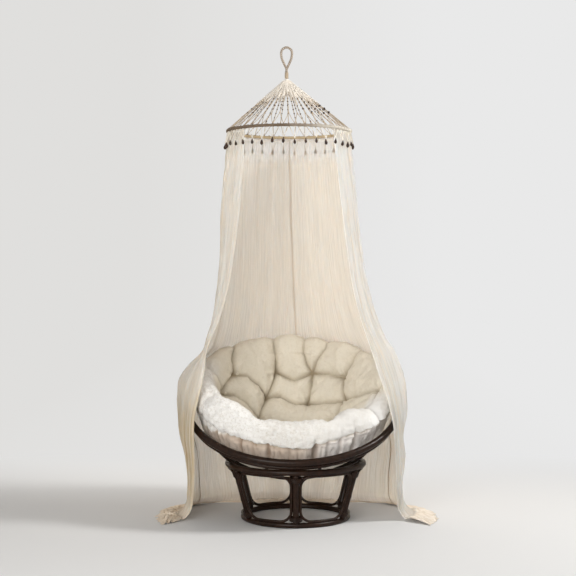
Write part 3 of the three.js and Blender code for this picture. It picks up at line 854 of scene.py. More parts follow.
CROWN_HEIGHT = 2.160
CROWN_SHIFT = -0.012
CROWN_REACH = 0.105
CORD_COUNT = 36
HALF_PITCH = TURN / CORD_COUNT / 2
FOOT_HEIGHT = HOOP_HEIGHT + HOOP_THICK / 2 + 0.001
SLOPE = (CROWN_HEIGHT - FOOT_HEIGHT) / HOOP_RADIUS
draw = random.Random(7)


def cone_point(radius, angle, lift=0.0):
    """A place on the cone of cords, which leans towards the crown."""
    height = CROWN_HEIGHT - SLOPE * radius
    share = (height - FOOT_HEIGHT) / (CROWN_HEIGHT - FOOT_HEIGHT)
    steep = math.atan(SLOPE)
    out = radius + lift * math.sin(steep)
    return at(
        out * math.sin(angle) + CROWN_SHIFT * share,
        out * math.cos(angle),
        height + lift * math.cos(steep),
    )


def cone_run(start, end, angle, steps, sideways=0.0, lift=0.0):
    """Points down the cone from one radius to another; sideways swings them off the straight way."""
    run = []
    for i in range(steps):
        share = i / (steps - 1)
        run.append(cone_point(start + (end - start) * share, angle + sideways * share, lift))
    return run


def knotted_strand(i, angle, ends):
    """One strand wound and knotted round its cord through the dense part of the cone."""
    wound = []
    for step in range(110):
        share = step / 109
        radius = 0.014 + (ends - 0.014) * share
        swing = TURN * 17 * share + 2.1 * i
        broad = (0.0018 + 0.0046 * share) * math.sin(swing)
        wound.append(cone_point(radius, angle + broad / radius, 0.0012 + 0.0026 * math.cos(swing)))
    return wound


cords, tails = Strands(), Strands()
beads = []
for i in range(CORD_COUNT):
    angle = TURN * i / CORD_COUNT
    aside = abs(math.sin(angle))
    uneven = draw.uniform(-0.5, 0.5)
    cords.tube(cone_run(0.004, 0.122, angle, 42), 0.0025, 6, 2, 0.012)
    ends = CROWN_REACH - 0.008 + 0.056 * aside + 0.022 * uneven + (0.014 if i % 3 else -0.006)
    cords.tube(knotted_strand(i, angle, ends), 0.0021, 5)
    # below it the plain cord, and the fork: two strands that spread to the hoop, in the darker tan finish
    # as painted shade
    fork = 0.232 + 0.012 * uneven
    tails.tube(cone_run(0.120, fork, angle, 34), 0.0020, 6, 2, 0.012)
    for spread in (-HALF_PITCH, HALF_PITCH):
        tails.tube(cone_run(fork - 0.004, 0.2985, angle, 12, spread * 0.96), 0.0016, 5, 2, 0.008)
    tails.ball(cone_point(fork, angle), 0.0042, 1.2)
    # beads, larger on the right of the front and smaller elsewhere
    on_right_front = math.sin(angle) > 0 and math.cos(angle) < 0
    larger = 1 + (0.38 if on_right_front else -0.12) * aside
    for bead in range((5 if i % 2 else 4) - (2 if aside > 0.8 else 0)):
        radius = 0.104 + 0.068 * aside + 0.0215 * bead + 0.005 * uneven + (0.0 if i % 2 else 0.011)
        beads.append((cone_point(radius, angle), larger))
# rows of knots that tie neighbouring cords together
for row, radius in enumerate((0.046, 0.062, 0.078, 0.094)):
    zigzag = []
    for i in range(2 * CORD_COUNT):
        angle = HALF_PITCH * (i + row % 2)
        zigzag.append(cone_point(radius + (0.007 if i % 2 else -0.007), angle, 0.0022))
    cords.tube(zigzag, 0.0018, 5, closed=True)
cords.piece("crown_cords", cotton, "cotton_cord", "cone_net")
tails.piece("crown_tails", tan_and_shaded_cotton, "cotton_cord")

# the close knotting behind the cords, ragged at its lower end
knotting = Strands()
for i in range(3 * CORD_COUNT):
    angle = TURN * (i + 0.5) / (3 * CORD_COUNT)
    ends = 0.078 + 0.012 * noise.noise((i * 0.9, 2.2, 0.4))
    thickening = [0.0012 + 0.0016 * k / 25 for k in range(26)]
    knotting.tube(cone_run(0.005, ends, angle, 26, 0.0, -0.0035), thickening, 5)
tip = [at(CROWN_SHIFT, 0, CROWN_HEIGHT - 0.014 + 0.003 * k) for k in range(7)]
knotting.tube(tip, [0.016, 0.0135, 0.011, 0.009, 0.0075, 0.007, 0.0066], 20)
knotting.piece("crown_knotting", cotton, "cotton_cord")

bpy.ops.mesh.primitive_uv_sphere_add(segments=8, ring_count=6, radius=0.0036)
first_bead = bpy.context.object
strung = []
for place, larger in beads:
    bead = copied(first_bead)
    size = larger * draw.uniform(0.85, 1.15)
    bead.data.transform(Matrix.Translation(place) @ Matrix.Diagonal((size, size, size * 1.1, 1)))
    bead.data.materials.append(wood)
    strung.append(bead)
bpy.data.objects.remove(first_bead)
settled(joined(strung, "crown_beads"), "dark_wood")

# the hanging loop: two legs, one behind the other in the lashing, and the eye above them
LOOP_HALF = 0.027
LEG_Y = 0.00625
LEGS_END = CROWN_HEIGHT + 0.001
LEGS_TOP = CROWN_HEIGHT + 0.046
LOOP_TOP = 2.315
LASHING_TURNS = 11
LASHING_STEPS = 28


def eye_height(share):
    return LEGS_TOP + (LOOP_TOP - LEGS_TOP) * share


left_leg = [
    (0, -LEG_Y, LEGS_END),
    (0, -LEG_Y, (LEGS_END + LEGS_TOP) / 2),
    (0, -LEG_Y, LEGS_TOP),
    (-LOOP_HALF * 0.488, -LEG_Y * 0.6, eye_height(0.27)),
    (-LOOP_HALF * 0.94, 0, eye_height(0.58)),
    (-LOOP_HALF * 0.86, 0, eye_height(0.87)),
    (0, 0, LOOP_TOP),
]
right_leg = [(-x, -y, height) for x, y, height in reversed(left_leg[:-1])]
loop = Strands()
loop_path = smooth_points([at(x + CROWN_SHIFT, y, height) for x, y, height in left_leg + right_leg], 190)
loop.tube(loop_path, 0.0062, 14, 3, 0.030)
loop.piece("hanging_rope", rope_cotton, "cotton_cord", "hanging_loop")

lashing = Strands()
lap = []
for step in range(LASHING_TURNS * LASHING_STEPS):
    angle = TURN * step / LASHING_STEPS
    y = 0.0078 * math.sin(angle)
    y += math.copysign(LEG_Y, y) if abs(y) > 1e-4 else 0
    height = CROWN_HEIGHT + 0.0018 + 0.0285 * step / (LASHING_TURNS * LASHING_STEPS)
    lap.append(at(CROWN_SHIFT + 0.0078 * math.cos(angle), y, height))
lashing.tube(lap, 0.00135, 6)
lashing.piece("crown_lashing", tan_and_shaded_cotton, "wrapped_cord", "crown_whipping")


# ---------- Fringe net and drops ----------

FRINGE_RADIUS = 0.3042
DROP_LENGTH = 0.0286
DROP_WIDTH = 0.01736
UNDER_HOOP = HOOP_HEIGHT - HOOP_THICK / 2 * 0.9
drop_boxes = [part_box(f"drop_{i + 1:02d}") for i in range(CORD_COUNT)]


def hoop_point(radius, turns, height):
    """A place under the hoop; turns counts drops from the front, leftwards."""
    angle = TURN * turns / CORD_COUNT - math.pi
    return at(radius * math.sin(angle), radius * math.cos(angle), height)


fringe = Strands()
for i, (low, high) in enumerate(drop_boxes):
    knot = Vector(((low.x + high.x) / 2, (low.y + high.y) / 2, high.z + 0.0035))
    for k in (-1, 0, 1):
        start = hoop_point(FRINGE_RADIUS - 0.001, i + 0.5 + k / 2, UNDER_HOOP)
        path = []
        for step in range(12):
            share = step / 11
            slack = 0.0015 * abs(k) * math.sin(math.pi * share)
            path.append(start.lerp(knot, share) - Vector((0, 0, slack)))
        fringe.tube(path, 0.00155, 5, 2, 0.007)
    fringe.ball(knot, 0.0034, 1.1)
    fringe.ball(hoop_point(FRINGE_RADIUS, i + 0.5, UNDER_HOOP - 0.003), 0.0030, 1.0)
fringe.piece("fringe_strands", white_cotton, "cotton_cord", "fringe_net")

# one drop: a turned bead drawn out to a narrow neck at its top
bpy.ops.mesh.primitive_uv_sphere_add(segments=16, ring_count=14, radius=0.5)
first_drop = bpy.context.object
for vertex in first_drop.data.vertices:
    vertex.select = vertex.co.z > -0.05
bpy.ops.object.mode_set(mode="EDIT")
bpy.ops.transform.resize(value=(0.92, 0.92, 1.0), center_override=(0, 0, 0))
bpy.ops.object.mode_set(mode="OBJECT")
for vertex in first_drop.data.vertices:
    slim = 1 - 1.12 * max(0, vertex.co.z + 0.5 - 0.27) ** 1.05
    vertex.co.x *= slim
    vertex.co.y *= slim
bpy.ops.object.shade_smooth()
for i, (low, high) in enumerate(drop_boxes):
    drop = copied(first_drop)
    drop.name = f"wood_drop_{i + 1:02d}"
    size = draw.uniform(0.86, 1.10)
    lean = Matrix.Rotation(math.radians(draw.uniform(-7, 7)), 4, "Y")
    shape = Matrix.Diagonal((DROP_WIDTH * size, DROP_WIDTH * size, DROP_LENGTH * size, 1))
    drop.data.transform(Matrix.Translation((low + high) / 2 - Vector((0, 0, 0.001))) @ lean @ shape)
    drop.data.materials.append(wood)
    settled(drop, "dark_wood", f"drop_{i + 1:02d}")
bpy.data.objects.remove(first_drop)


# ---------- Chair: bowl ----------

BOWL_X, BOWL_Y, BOWL_HEIGHT = 0.020, 0.120, 0.554  # middle of the rim's plane
TILT = math.radians(26)
RIM_RADIUS = 0.528
RIM_POLE = 0.034
BOWL_DEPTH = 0.325
SPHERE = (RIM_RADIUS**2 + BOWL_DEPTH**2) / (2 * BOWL_DEPTH)  # the bowl is a part of a sphere
SPHERE_RISE = SPHERE - BOWL_DEPTH
RIM_ANGLE = math.asin(RIM_RADIUS / SPHERE)
RIBS = 6
RIB = 0.016
UNDER_POLE = 0.021
tilted = Matrix.Translation(at(BOWL_X, BOWL_Y, BOWL_HEIGHT)) @ Matrix.Rotation(TILT, 4, "X")


def bowl_point(x, y, z):
    return tilted @ Vector((x, y, z))


def on_sphere(angle, heading, radius=SPHERE):
    """A place on the bowl, by the angle up from its lowest point and the heading from the back."""
    out, down = radius * math.sin(angle), radius * math.cos(angle)
    return bowl_point(out * math.sin(heading), out * math.cos(heading), SPHERE_RISE - down)


def cane_ring(name, radius, height, thick, node, matrix, swell):
    """A ring of cane with its knuckles, turned and placed, then written into its mesh."""
    bpy.ops.mesh.primitive_torus_add(
        major_segments=160, minor_segments=18, major_radius=radius, minor_radius=thick / 2
    )
    ring = bpy.context.object
    ring.name = name
    for vertex in ring.data.vertices:
        angle = math.atan2(vertex.co.y, vertex.co.x)
        heart = Vector((math.cos(angle), math.sin(angle), 0)) * radius
        knuckle = max(0, math.cos(angle * 9 + 1.3)) ** 40
        vertex.co = heart + (vertex.co - heart) * (1 + swell * knuckle)
    ring.data.transform(matrix @ Matrix.Translation((0, 0, height)))
    finished(ring, rattan)
    settled(ring, "rattan", node)


cane_ring("rim_pole", RIM_RADIUS, 0.001, RIM_POLE, "bowl_rim", tilted, 0.05)

bowl_canes = []
for i in range(RIBS):
    heading = math.pi * (i + 0.5) / RIBS
    end = RIM_ANGLE - 0.019 / SPHERE
    bowl_canes.append(cane([on_sphere(end * (step / 30 - 1), heading) for step in range(61)], RIB))
path = [on_sphere(RIM_ANGLE * 0.56, TURN * step / 96) for step in range(96)]
bowl_canes.append(cane(path, RIB, closed=True))
# the second pole, bound under the rim
path = [on_sphere(RIM_ANGLE - 0.040 / SPHERE, TURN * step / 150, SPHERE + 0.004) for step in range(150)]
bowl_canes.append(cane(path, UNDER_POLE, closed=True))
settled(joined(bowl_canes, "bowl_canes"), "rattan", "bowl_frame")


# ---------- Chair: base ----------

BASE_X = 0.032
BASE_Y = BOWL_Y - SPHERE_RISE * math.sin(TILT)
BASE_TOP_RADIUS = 0.333
BASE_BOTTOM_RADIUS = 0.256
TOP_POLE = 0.028
BOTTOM_POLE = 0.026
POST = 0.030
POSTS = 6
POST_STEPS = 36
BRACE = 0.0132
CORNER = 0.055  # radius of a brace's bent corners
CORNER_STEPS = 9
top_low, top_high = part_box("base_top_ring")
BASE_TOP = (top_low.z + top_high.z) / 2 - FLOOR
BASE_BOTTOM = 0.012
BASE_TALL = math.hypot(BASE_TOP - BASE_BOTTOM, BASE_TOP_RADIUS - BASE_BOTTOM_RADIUS)
base_place = Matrix.Translation(at(BASE_X, BASE_Y, 0))
for name, radius, height, thick, node in (
    ("base_upper_pole", BASE_TOP_RADIUS, BASE_TOP, TOP_POLE, "base_top_ring"),
    ("base_lower_pole", BASE_BOTTOM_RADIUS, BASE_BOTTOM + 0.001, BOTTOM_POLE, "base_bottom_ring"),
):
    cane_ring(name, radius, height, thick, node, base_place, 0.06)


def base_radius(share):
    return BASE_BOTTOM_RADIUS + (BASE_TOP_RADIUS - BASE_BOTTOM_RADIUS) * share


def base_point(share, heading):
    """On the cone of the base: share 0 at the lower ring and 1 at the upper one."""
    radius = base_radius(share)
    height = BASE_BOTTOM + (BASE_TOP - BASE_BOTTOM) * share
    return at(BASE_X + radius * math.sin(heading), BASE_Y + radius * math.cos(heading), height)


def post_heading(i):
    return math.pi + TURN * i / POSTS


for i in range(POSTS):
    foot, head = base_point(0.045, post_heading(i)), base_point(0.955, post_heading(i))
    bpy.ops.mesh.primitive_circle_add(vertices=18, radius=POST / 2, fill_type="NGON")
    post = bpy.context.object
    bpy.ops.object.mode_set(mode="EDIT")
    bpy.ops.mesh.select_all(action="SELECT")
    rise = (0, 0, (head - foot).length / POST_STEPS)
    swollen = 1.0
    for step in range(POST_STEPS):
        share = (step + 1) / POST_STEPS
        low_knuckle = math.exp(-(((share - 0.36 - 0.05 * (i % 3)) / 0.03) ** 2))
        high_knuckle = math.exp(-(((share - 0.76) / 0.03) ** 2))
        swell = 1 + 0.09 * (low_knuckle + high_knuckle)
        bpy.ops.mesh.extrude_region_move(TRANSFORM_OT_translate={"value": rise})
        bpy.ops.transform.resize(value=(swell / swollen, swell / swollen, 1))
        swollen = swell
    bpy.ops.mesh.select_all(action="SELECT")
    bpy.ops.mesh.normals_make_consistent(inside=False)
    bpy.ops.object.mode_set(mode="OBJECT")
    post.name = f"post_pole_{i + 1}"
    post.rotation_euler = (head - foot).to_track_quat("Z", "X").to_euler()
    post.location = foot
    place_in_mesh()
    finished(post, rattan)
    settled(post, "rattan", f"base_post_{i + 1}")


def bay_outline(start):
    """Shares and headings of the places round one bay, a frame with bent corners."""
    outline = []
    margin = (BOTTOM_POLE + BRACE) / 2 / BASE_TALL
    for corner, (u, v) in enumerate(((0, 0), (1, 0), (1, 1), (0, 1))):
        for step in range(CORNER_STEPS):
            angle = math.pi + QUARTER * corner + QUARTER * step / (CORNER_STEPS - 1)
            share = margin + (1 - 2 * margin) * v
            share += CORNER / BASE_TALL * ((1 if v == 0 else -1) + math.sin(angle))
            radius = base_radius(share)
            inset = (POST + BRACE) / 2 / radius
            across = inset + (TURN / POSTS - 2 * inset) * u
            across += CORNER / radius * ((1 if u == 0 else -1) + math.cos(angle))
            outline.append((share, start + across))
    return outline


braces = []
for bay in range(POSTS):
    outline = bay_outline(post_heading(bay))
    path = []
    for k, (share, heading) in enumerate(outline):
        path.append(base_point(share, heading))
        if (k + 1) % CORNER_STEPS == 0:
            next_share, next_heading = outline[(k + 1) % len(outline)]
            for mixed in (extra / 10 for extra in range(1, 10)):
                path.append(base_point(
                    share + (next_share - share) * mixed,
                    heading + (next_heading - heading) * mixed,
                ))
    braces.append(cane(path, BRACE, closed=True))
settled(joined(braces, "base_braces"), "rattan")

lashings = []
for i in range(POSTS):
    heading = post_heading(i)
    up = (base_point(1, heading) - base_point(0, heading)).normalized()
    side = Vector((math.cos(heading), -math.sin(heading), 0))
    out = side.cross(up).normalized()
    for share in (0.13, 0.87):
        path = []
        for step in range(101):
            swing = TURN * step / 20
            climb = up * (step / 20 - 2.5) * 0.0044
            wrap = side * (0.0295 * math.cos(swing)) + out * (0.0175 * math.sin(swing))
            path.append(base_point(share, heading) + climb + wrap)
        lashings.append(cane(path, 0.0044))
settled(joined(lashings, "base_lashings"), "rattan")


# ---------- Cushion ----------

# Reach and height over the rim's plane of the upper half section, from the edge to the middle.
UNDERSIDE_REACH = 0.456
TOP_SECTION = (
    (0.484, 0.022), (0.492, 0.055), (0.509, 0.085), (0.507, 0.122), (0.480, 0.156), (0.440, 0.170),
    (0.402, 0.150), (0.372, 0.108), (0.320, 0.030), (0.225, -0.072), (0.110, -0.138), (0.004, -0.168),
)
SEAM = (0.492, 0.055)  # the place in the section of the seam between the roll and the side band
CORE = 0.004  # reach of the innermost ring, closed by a small face
BED = SPHERE - RIB / 2 - 0.0065
AROUND = 440
UNDER_STEPS = 22
TOP_STEPS = 186
SEAM_STEP = 150 / TOP_STEPS  # one row's worth of the measure that counts rows from the seam

# Tufts: places on the rim's plane, to the right and to the back of the bowl's centre.
TUFTS = {
    "a": (-0.079, 0.294), "b": (-0.284, 0.191), "c": (-0.122, 0.191), "d": (-0.336, 0.033),
    "e": (-0.159, 0.054), "f": (0.095, 0.288), "g": (0.069, 0.176), "h": (0.249, 0.207),
    "i": (0.241, 0.106), "j": (0.205, 0.024), "k": (0.406, -0.065), "l": (0.020, -0.010),
    "m": (-0.110, -0.165), "n": (0.130, -0.170), "o": (-0.300, -0.190), "p": (0.310, -0.230),
}
# Creases run from tuft to tuft, or out over the edge, through the places between.
CREASES = (
    ("a", (-0.082, 0.345), (-0.096, 0.410), (-0.110, 0.490)),
    ("a", (-0.096, 0.252), "c"),
    ("c", (-0.148, 0.126), "e"),
    ("b", (-0.294, 0.242), (-0.308, 0.330), (-0.325, 0.390)),
    ("b", (-0.223, 0.229), (-0.165, 0.222), "c"),
    ("b", (-0.318, 0.120), "d"),
    ("d", (-0.377, 0.067), (-0.440, 0.115), (-0.500, 0.135)),
    ("d", (-0.276, 0.093), (-0.215, 0.105), "e"),
    ("a", (0.008, 0.272), "f"),
    ("f", (0.067, 0.325), (0.052, 0.370), (0.070, 0.500)),
    ("f", (0.120, 0.323), (0.165, 0.370), (0.200, 0.460)),
    ("f", (0.173, 0.262), "h"),
    ("h", (0.278, 0.232), (0.320, 0.280), (0.385, 0.330)),
    ("f", (0.091, 0.240), "g"),
    ("h", (0.240, 0.159), "i"),
    ("c", (-0.058, 0.207), (0.016, 0.178), "g"),
    ("g", (0.155, 0.150), "i"),
    ("i", (0.222, 0.070), "j"),
    ("i", (0.290, 0.072), (0.360, -0.010), "k"),
    ("k", (0.447, -0.045), (0.500, -0.050)),
    ("e", (-0.060, 0.010), "l"),
    ("l", (0.110, 0.020), "j"),
    ("e", (-0.150, -0.060), "m"),
    ("l", (-0.050, -0.080), "m"),
    ("l", (0.080, -0.080), "n"),
    ("j", (0.190, -0.070), "n"),
    ("m", (-0.130, -0.260), (-0.150, -0.370)),
    ("n", (0.150, -0.260), (0.165, -0.370)),
    ("m", (-0.200, -0.190), "o"),
    ("o", (-0.370, -0.210), (-0.440, -0.250)),
    ("d", (-0.340, -0.080), "o"),
    ("n", (0.220, -0.190), "p"),
    ("p", (0.370, -0.260), (0.430, -0.290)),
    ("k", (0.380, -0.150), "p"),
    ("j", (0.300, -0.060), "k"),
)
# How much higher the roll lies than a level one, by the angle from the back, in degrees.
ROLL_RISE = (
    (-180, -0.026), (-160, -0.004), (-125, 0.026), (-100, 0.014), (-60, -0.018), (-30, -0.034), (0, -0.044),
    (30, -0.040), (60, -0.026), (105, -0.026), (125, -0.036), (145, -0.006), (165, -0.014), (180, -0.026),
)
# Where the side band is gathered most, by the same angle, and how strongly.
TUCKS = (
    (-178, 0.5), (-166, 0.9), (-157, 0.5), (-149, 1.0), (-139, 0.4), (-131, 0.9), (-119, 0.7), (-104, 0.8),
    (168, 1.7), (161, 0.4), (153, 0.6), (144, 1.2), (132, 0.5), (124, 1.3), (112, 0.7), (97, 0.3),
    (75, 1), (50, 1), (25, 1), (0, 1), (-25, 1), (-50, 1), (-75, 1),
)


def crease_lines():
    lines = []
    for crease in CREASES:
        stops = [TUFTS[stop] if isinstance(stop, str) else stop for stop in crease]
        lines.extend(zip(stops[:-1], stops[1:]))
    return lines


def distance_to(lines, x, y):
    """Distance from each place to the nearest of the lines."""
    nearest = np.full(x.shape, 9.0)
    for (x0, y0), (x1, y1) in lines:
        dx, dy = x1 - x0, y1 - y0
        share = np.clip(((x - x0) * dx + (y - y0) * dy) / (dx * dx + dy * dy), 0, 1)
        nearest = np.minimum(nearest, np.hypot(x - x0 - share * dx, y - y0 - share * dy))
    return nearest


def tufts_near(x, y):
    """Distance from each place to the nearest tuft, and the heading from it."""
    at_tuft = np.full(x.shape, 9.0)
    spoke = np.zeros_like(x)
    for tx, ty in TUFTS.values():
        away = np.hypot(x - tx, y - ty)
        spoke = np.where(away < at_tuft, np.arctan2(x - tx, y - ty), spoke)
        at_tuft = np.minimum(at_tuft, away)
    return at_tuft, spoke


def near_angle(degrees, place, width):
    """1 at one angle round the cushion, and less away from it."""
    return np.exp(-(((degrees - place) / width) ** 2))


def tuck_strength(degrees):
    """How strongly the side band is gathered at each angle."""
    tuck = np.zeros_like(degrees)
    for place, strength in TUCKS:
        apart = np.abs((degrees - place + 180) % 360 - 180)
        tuck += strength * near_angle(apart, 0, 0.7 + 0.4 * strength)
    return tuck


def seat_relief(x, y, near, at_tuft, spoke, slight):
    """Creases, tufts and pillows of the seat, with puckers round the tufts and slack cloth between."""
    groove = -0.024 * np.exp(-near / 0.012) - 0.009 * np.exp(-((near / 0.0042) ** 2))
    dimple = -0.022 * np.exp(-at_tuft / 0.016)
    pillow = 0.022 * (1 - np.exp(-((near / 0.048) ** 2))) - 0.008
    drawn_in = np.exp(-at_tuft / 0.040) + 0.5 * np.exp(-near / 0.030)
    pleats = np.sin(9 * spoke + 4 * noise_field(x * 9, y * 9, 0.6)) * np.clip(at_tuft / 0.02, 0, 1)
    pucker = (0.0040 * pleats + 0.0080 * noise_field(x * 55, y * 55, 4.4)) * drawn_in
    slack = 0.0065 * noise_field(x * 17, y * 17, 8.8) + 0.0050 * noise_field(x * 42, y * 42, 5.5)
    return groove * slight + dimple + pillow + pucker + slack


def roll_relief(x, y, angle, reach, height, shaggy):
    """Lobes of the roll, and the fleece on its front."""
    lobes = 0.004 * np.cos(8 * angle + 0.4) + 0.009 * noise_field(angle * 2.6, reach * 6, 6.1)
    clumps = noise_field(x * 34, y * 34 + height * 34, 1.9)
    curls = noise_field(x * 85, y * 85 + height * 85, 2.9)
    curls = curls + 0.6 * noise_field(x * 170, y * 170 + height * 170, 3.9)
    front = np.clip((-y - 0.02) / 0.16, 0, 1)
    return lobes + front * (0.0050 * clumps + (0.0022 + 0.0030 * shaggy) * curls)


def cushion_section():
    """Half section as points, from the middle of the underside to the middle of the top."""
    reaches = np.linspace(CORE, UNDERSIDE_REACH, UNDER_STEPS)
    under = np.array([(reach, SPHERE_RISE - math.sqrt(BED**2 - reach**2)) for reach in reaches])
    upper = [(reach, 0, height) for reach, height in (tuple(under[-1]), *TOP_SECTION)]
    return np.vstack([under[:-1], smooth_points(upper, TOP_STEPS)[:, [0, 2]]])


def cushion():
    section = cushion_section()
    rows = len(section)
    row = np.arange(rows)[:, None]
    reach = np.repeat(section[:, :1], AROUND, 1)
    height = np.repeat(section[:, 1:], AROUND, 1)
    angle = np.repeat(np.linspace(-math.pi, math.pi, AROUND, endpoint=False)[None, :], rows, 0)
    degrees = np.degrees(angle)
    x, y = reach * np.sin(angle), reach * np.cos(angle)
    slopes = np.gradient(section, axis=0)
    normal = np.stack([slopes[:, 1], -slopes[:, 0]], 1)
    normal /= np.linalg.norm(normal, axis=1)[:, None]

    # the seam climbs towards the right end of the roll
    seam_row = np.argmin(np.hypot(section[:, 0] - SEAM[0], section[:, 1] - SEAM[1]))
    above_seam = (row - seam_row) * SEAM_STEP
    climb = 6 * np.clip((degrees - 96) / 20, 0, 1) * np.clip((171 - degrees) / 5, 0, 1)
    from_seam = above_seam - climb + 0.8 * np.sin(angle * 31)
    seam_line = np.exp(-((from_seam / 1.8) ** 2))
    over_seam = np.exp(-(((from_seam - 5) / 7) ** 2))

    # where the seat, the roll and the side band are
    on_seat = np.clip((above_seam - 10) / 22, 0, 1) * np.ones_like(x)
    on_roll = np.clip((reach - 0.395) / 0.04, 0, 1) * (height > 0.050)
    band = np.clip((row - UNDER_STEPS + 3) / 3, 0, 1) * np.clip((0.5 - from_seam) / 1.5, 0, 1)
    shaggy = np.clip((0.22 - x) / 0.2, 0, 1)

    near = distance_to(crease_lines(), x, y)
    at_tuft, spoke = tufts_near(x, y)
    # the crease that crosses the right end of the roll is only slight
    slight = 1 - 0.8 * near_angle(degrees, 96, 10) * np.clip((reach - 0.42) / 0.03, 0, 1)
    bunch = np.abs(noise_field(angle * 22, height * 7, 3.3))
    bunch = bunch + 0.6 * np.abs(noise_field(angle * 50, height * 16, 3.9))
    tuck = tuck_strength(degrees)
    shift = on_seat * seat_relief(x, y, near, at_tuft, spoke, slight)
    shift += on_roll * roll_relief(x, y, angle, reach, height, shaggy)
    shift += band * (0.015 * bunch - 0.004 - 0.012 * tuck)
    shift -= 0.009 * seam_line * (1 + 0.5 * tuck) + 0.012 * tuck * over_seam

    lift = np.interp(degrees, *zip(*ROLL_RISE))
    lift = lift * np.clip((reach - 0.30) / 0.10, 0, 1) * np.clip((height - 0.06) / 0.05, 0, 1)
    reach = reach + normal[:, :1] * shift
    height = height + normal[:, 1:] * shift + lift
    places = zip(reach.ravel(), angle.ravel(), height.ravel())
    points = [bowl_point(r * math.sin(a), r * math.cos(a), z) for r, a, z in places]
    faces = grid_faces(rows, AROUND, closed=True)
    faces.append(tuple(reversed(range(AROUND))))
    faces.append(tuple((rows - 1) * AROUND + k for k in range(AROUND)))

    # where each cloth shows, and where shade and light are painted on it
    edge_of_fleece = 0.02 - np.where(x > 0, 0.20, 0.42) * x
    fleece = np.clip((reach - 0.375) / 0.03, 0, 1) * np.clip((edge_of_fleece - y) / 0.12, 0, 1)
    fleece *= (row >= UNDER_STEPS) * np.clip((from_seam + 9 * near_angle(degrees, -118, 17)) / 2, 0, 1)
    # painted shade: how darkly the creases and tufts, the band's tucks and the seam are painted
    pinched_shade = np.exp(-near / 0.0045) * slight * (0.62 + 0.7 * np.exp(-at_tuft / 0.04))
    pinched_shade = on_seat * (pinched_shade + np.exp(-at_tuft / 0.010))
    tucked_shade = band * (tuck * 0.9 + 0.7 * np.clip(0.28 - bunch, 0, 1) / 0.28)
    attributes = {
        "fleece": fleece,
        "curly": fleece * shaggy,
        "band": band * (1 - fleece) * np.clip((0.445 - np.abs(x)) / 0.05, 0, 1),
        "paler": np.clip((x - 0.02) / 0.16, 0, 1),
        "crease": np.clip(pinched_shade + tucked_shade + 0.6 * seam_line, 0, 1),
    }
    made = mesh_piece("seat_cushion_cover", points, faces, cushion_cloth, None, attributes)
    settled(made, "cushion_cloth", "seat_cushion")
    return made


cover = cushion()


def seat_place(x, y):
    """The point of the seat nearest over a place on the rim's plane."""
    aim = bowl_point(x, y, -0.02)
    upward = [vertex for vertex in cover.data.vertices if vertex.normal.z > 0.2]
    return min(upward, key=lambda vertex: (vertex.co - aim).xy.length)


# a covered button in each tuft, set on the seat's own slope
seat_buttons = []
for x, y in TUFTS.values():
    seat = seat_place(x, y)
    bpy.ops.mesh.primitive_uv_sphere_add(segments=14, ring_count=8, radius=0.009)
    button = bpy.context.object
    button.data.transform(Matrix.Diagonal((1, 1, 0.5, 1)))
    button.rotation_euler = seat.normal.to_track_quat("Z", "X").to_euler()
    button.location = seat.co + seat.normal * 0.001
    place_in_mesh()
    finished(button, cushion_cloth)
    seat_buttons.append(button)
settled(joined(seat_buttons, "seat_buttons"), "cushion_cloth")


# ---------- Floor, backdrop and light ----------

COVE = 3.0
FLOOR_REACH = 11.0
WALL_TOP = 20.0
COVE_SIDES = 96
STUDIO_GREY = (0.74, 0.74, 0.74, 1)
PAPER_LEFT, PAPER_RIGHT = (0.752, 0.745, 0.731), (0.823, 0.823, 0.823)
PAPER_GLOW = 0.99


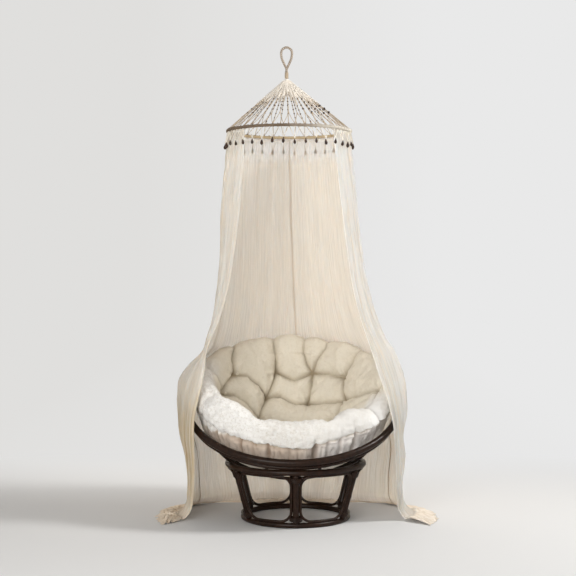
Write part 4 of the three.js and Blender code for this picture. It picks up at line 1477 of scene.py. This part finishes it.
def studio_finish():
    """Grey floor that takes the shadow, blending into glowing paper further off."""
    finish = Finish("studio", Roughness=0.9, Specular_IOR_Level=0.05, Base_Color=STUDIO_GREY)
    x, y, _ = finish.axes(finish.places())
    paper = finish.mix((x * 0.22 + 0.5).clamped(), PAPER_LEFT, PAPER_RIGHT)
    glow = finish.node("ShaderNodeEmission", None, {"Color": paper, "Strength": PAPER_GLOW})
    from_middle = (x**2.0 + y**2.0) ** 0.5
    far_off = (((y - 0.2) * 0.5).clamped() + ((from_middle - 2.6) * 0.4).clamped()).clamped()
    path_kind = finish.node("ShaderNodeLightPath")
    ray_kinds = ("Is Camera Ray", "Is Glossy Ray", "Is Transmission Ray")
    seen = sum(Value(finish, path_kind.outputs[kind]) for kind in ray_kinds)
    share = (seen.clamped() * far_off * far_off * (3 - far_off * 2)).clamped()
    surfaces = {0: share, 1: finish.shader.outputs[0], 2: glow.outputs[0]}
    blend = finish.node("ShaderNodeMixShader", None, surfaces)
    finish.feed(finish.tree.nodes["Material Output"].inputs["Surface"], blend.outputs[0])
    return finish.material


studio = studio_finish()


def cove_part(name, profile):
    """A round part of the studio, turned from its profile of reaches and heights."""
    angles = [TURN * k / COVE_SIDES for k in range(COVE_SIDES)]
    places = [at(r * math.cos(a), r * math.sin(a), z) for r, z in profile for a in angles]
    made = mesh_piece(name, places, grid_faces(len(profile), COVE_SIDES, closed=True), studio)
    return made


# a round floor whose rim turns up into a wall
cove_part("studio_floor", [(0.001, 0.0), (4.0, 0.0), (FLOOR_REACH, 0.0)])
bends = np.linspace(0.1, QUARTER, 14)
wall = [(FLOOR_REACH, 0.0)]
wall += [(FLOOR_REACH + COVE * math.sin(a), COVE * (1 - math.cos(a))) for a in bends]
wall += [(FLOOR_REACH + COVE, WALL_TOP)]
cove_part("studio_wall", wall).visible_diffuse = False

world = bpy.data.worlds.new("world")
scene.world = world
world.use_nodes = True
sky = world.node_tree.nodes["Background"].inputs
sky["Color"].default_value = (1.0, 0.985, 0.96, 1)
sky["Strength"].default_value = 0.345


def soft_lamp(name, place, aim, size, power, colour):
    data = bpy.data.lights.new(name, "AREA")
    data.shape = "RECTANGLE"
    data.size, data.size_y = size
    data.energy = power
    data.color = colour
    lamp = bpy.data.objects.new(name, data)
    scene.collection.objects.link(lamp)
    lamp.location = place
    lamp.rotation_euler = (Vector(aim) - Vector(place)).to_track_quat("-Z", "Y").to_euler()
    lamp.visible_camera = False


soft_lamp("key", at(3.6, -0.6, 3.9), at(-0.1, 0.15, 0.6), (1.0, 1.0), 160, (1, 0.99, 0.97))
soft_lamp("fill", at(-1.9, -5.4, 1.7), at(0, 0, 0.9), (2.6, 2.0), 192, (1, 0.98, 0.95))
soft_lamp("back", at(-0.3, 2.1, 1.0), at(-0.1, 0.5, 0.7), (3.0, 1.8), 19, (1, 0.91, 0.80))
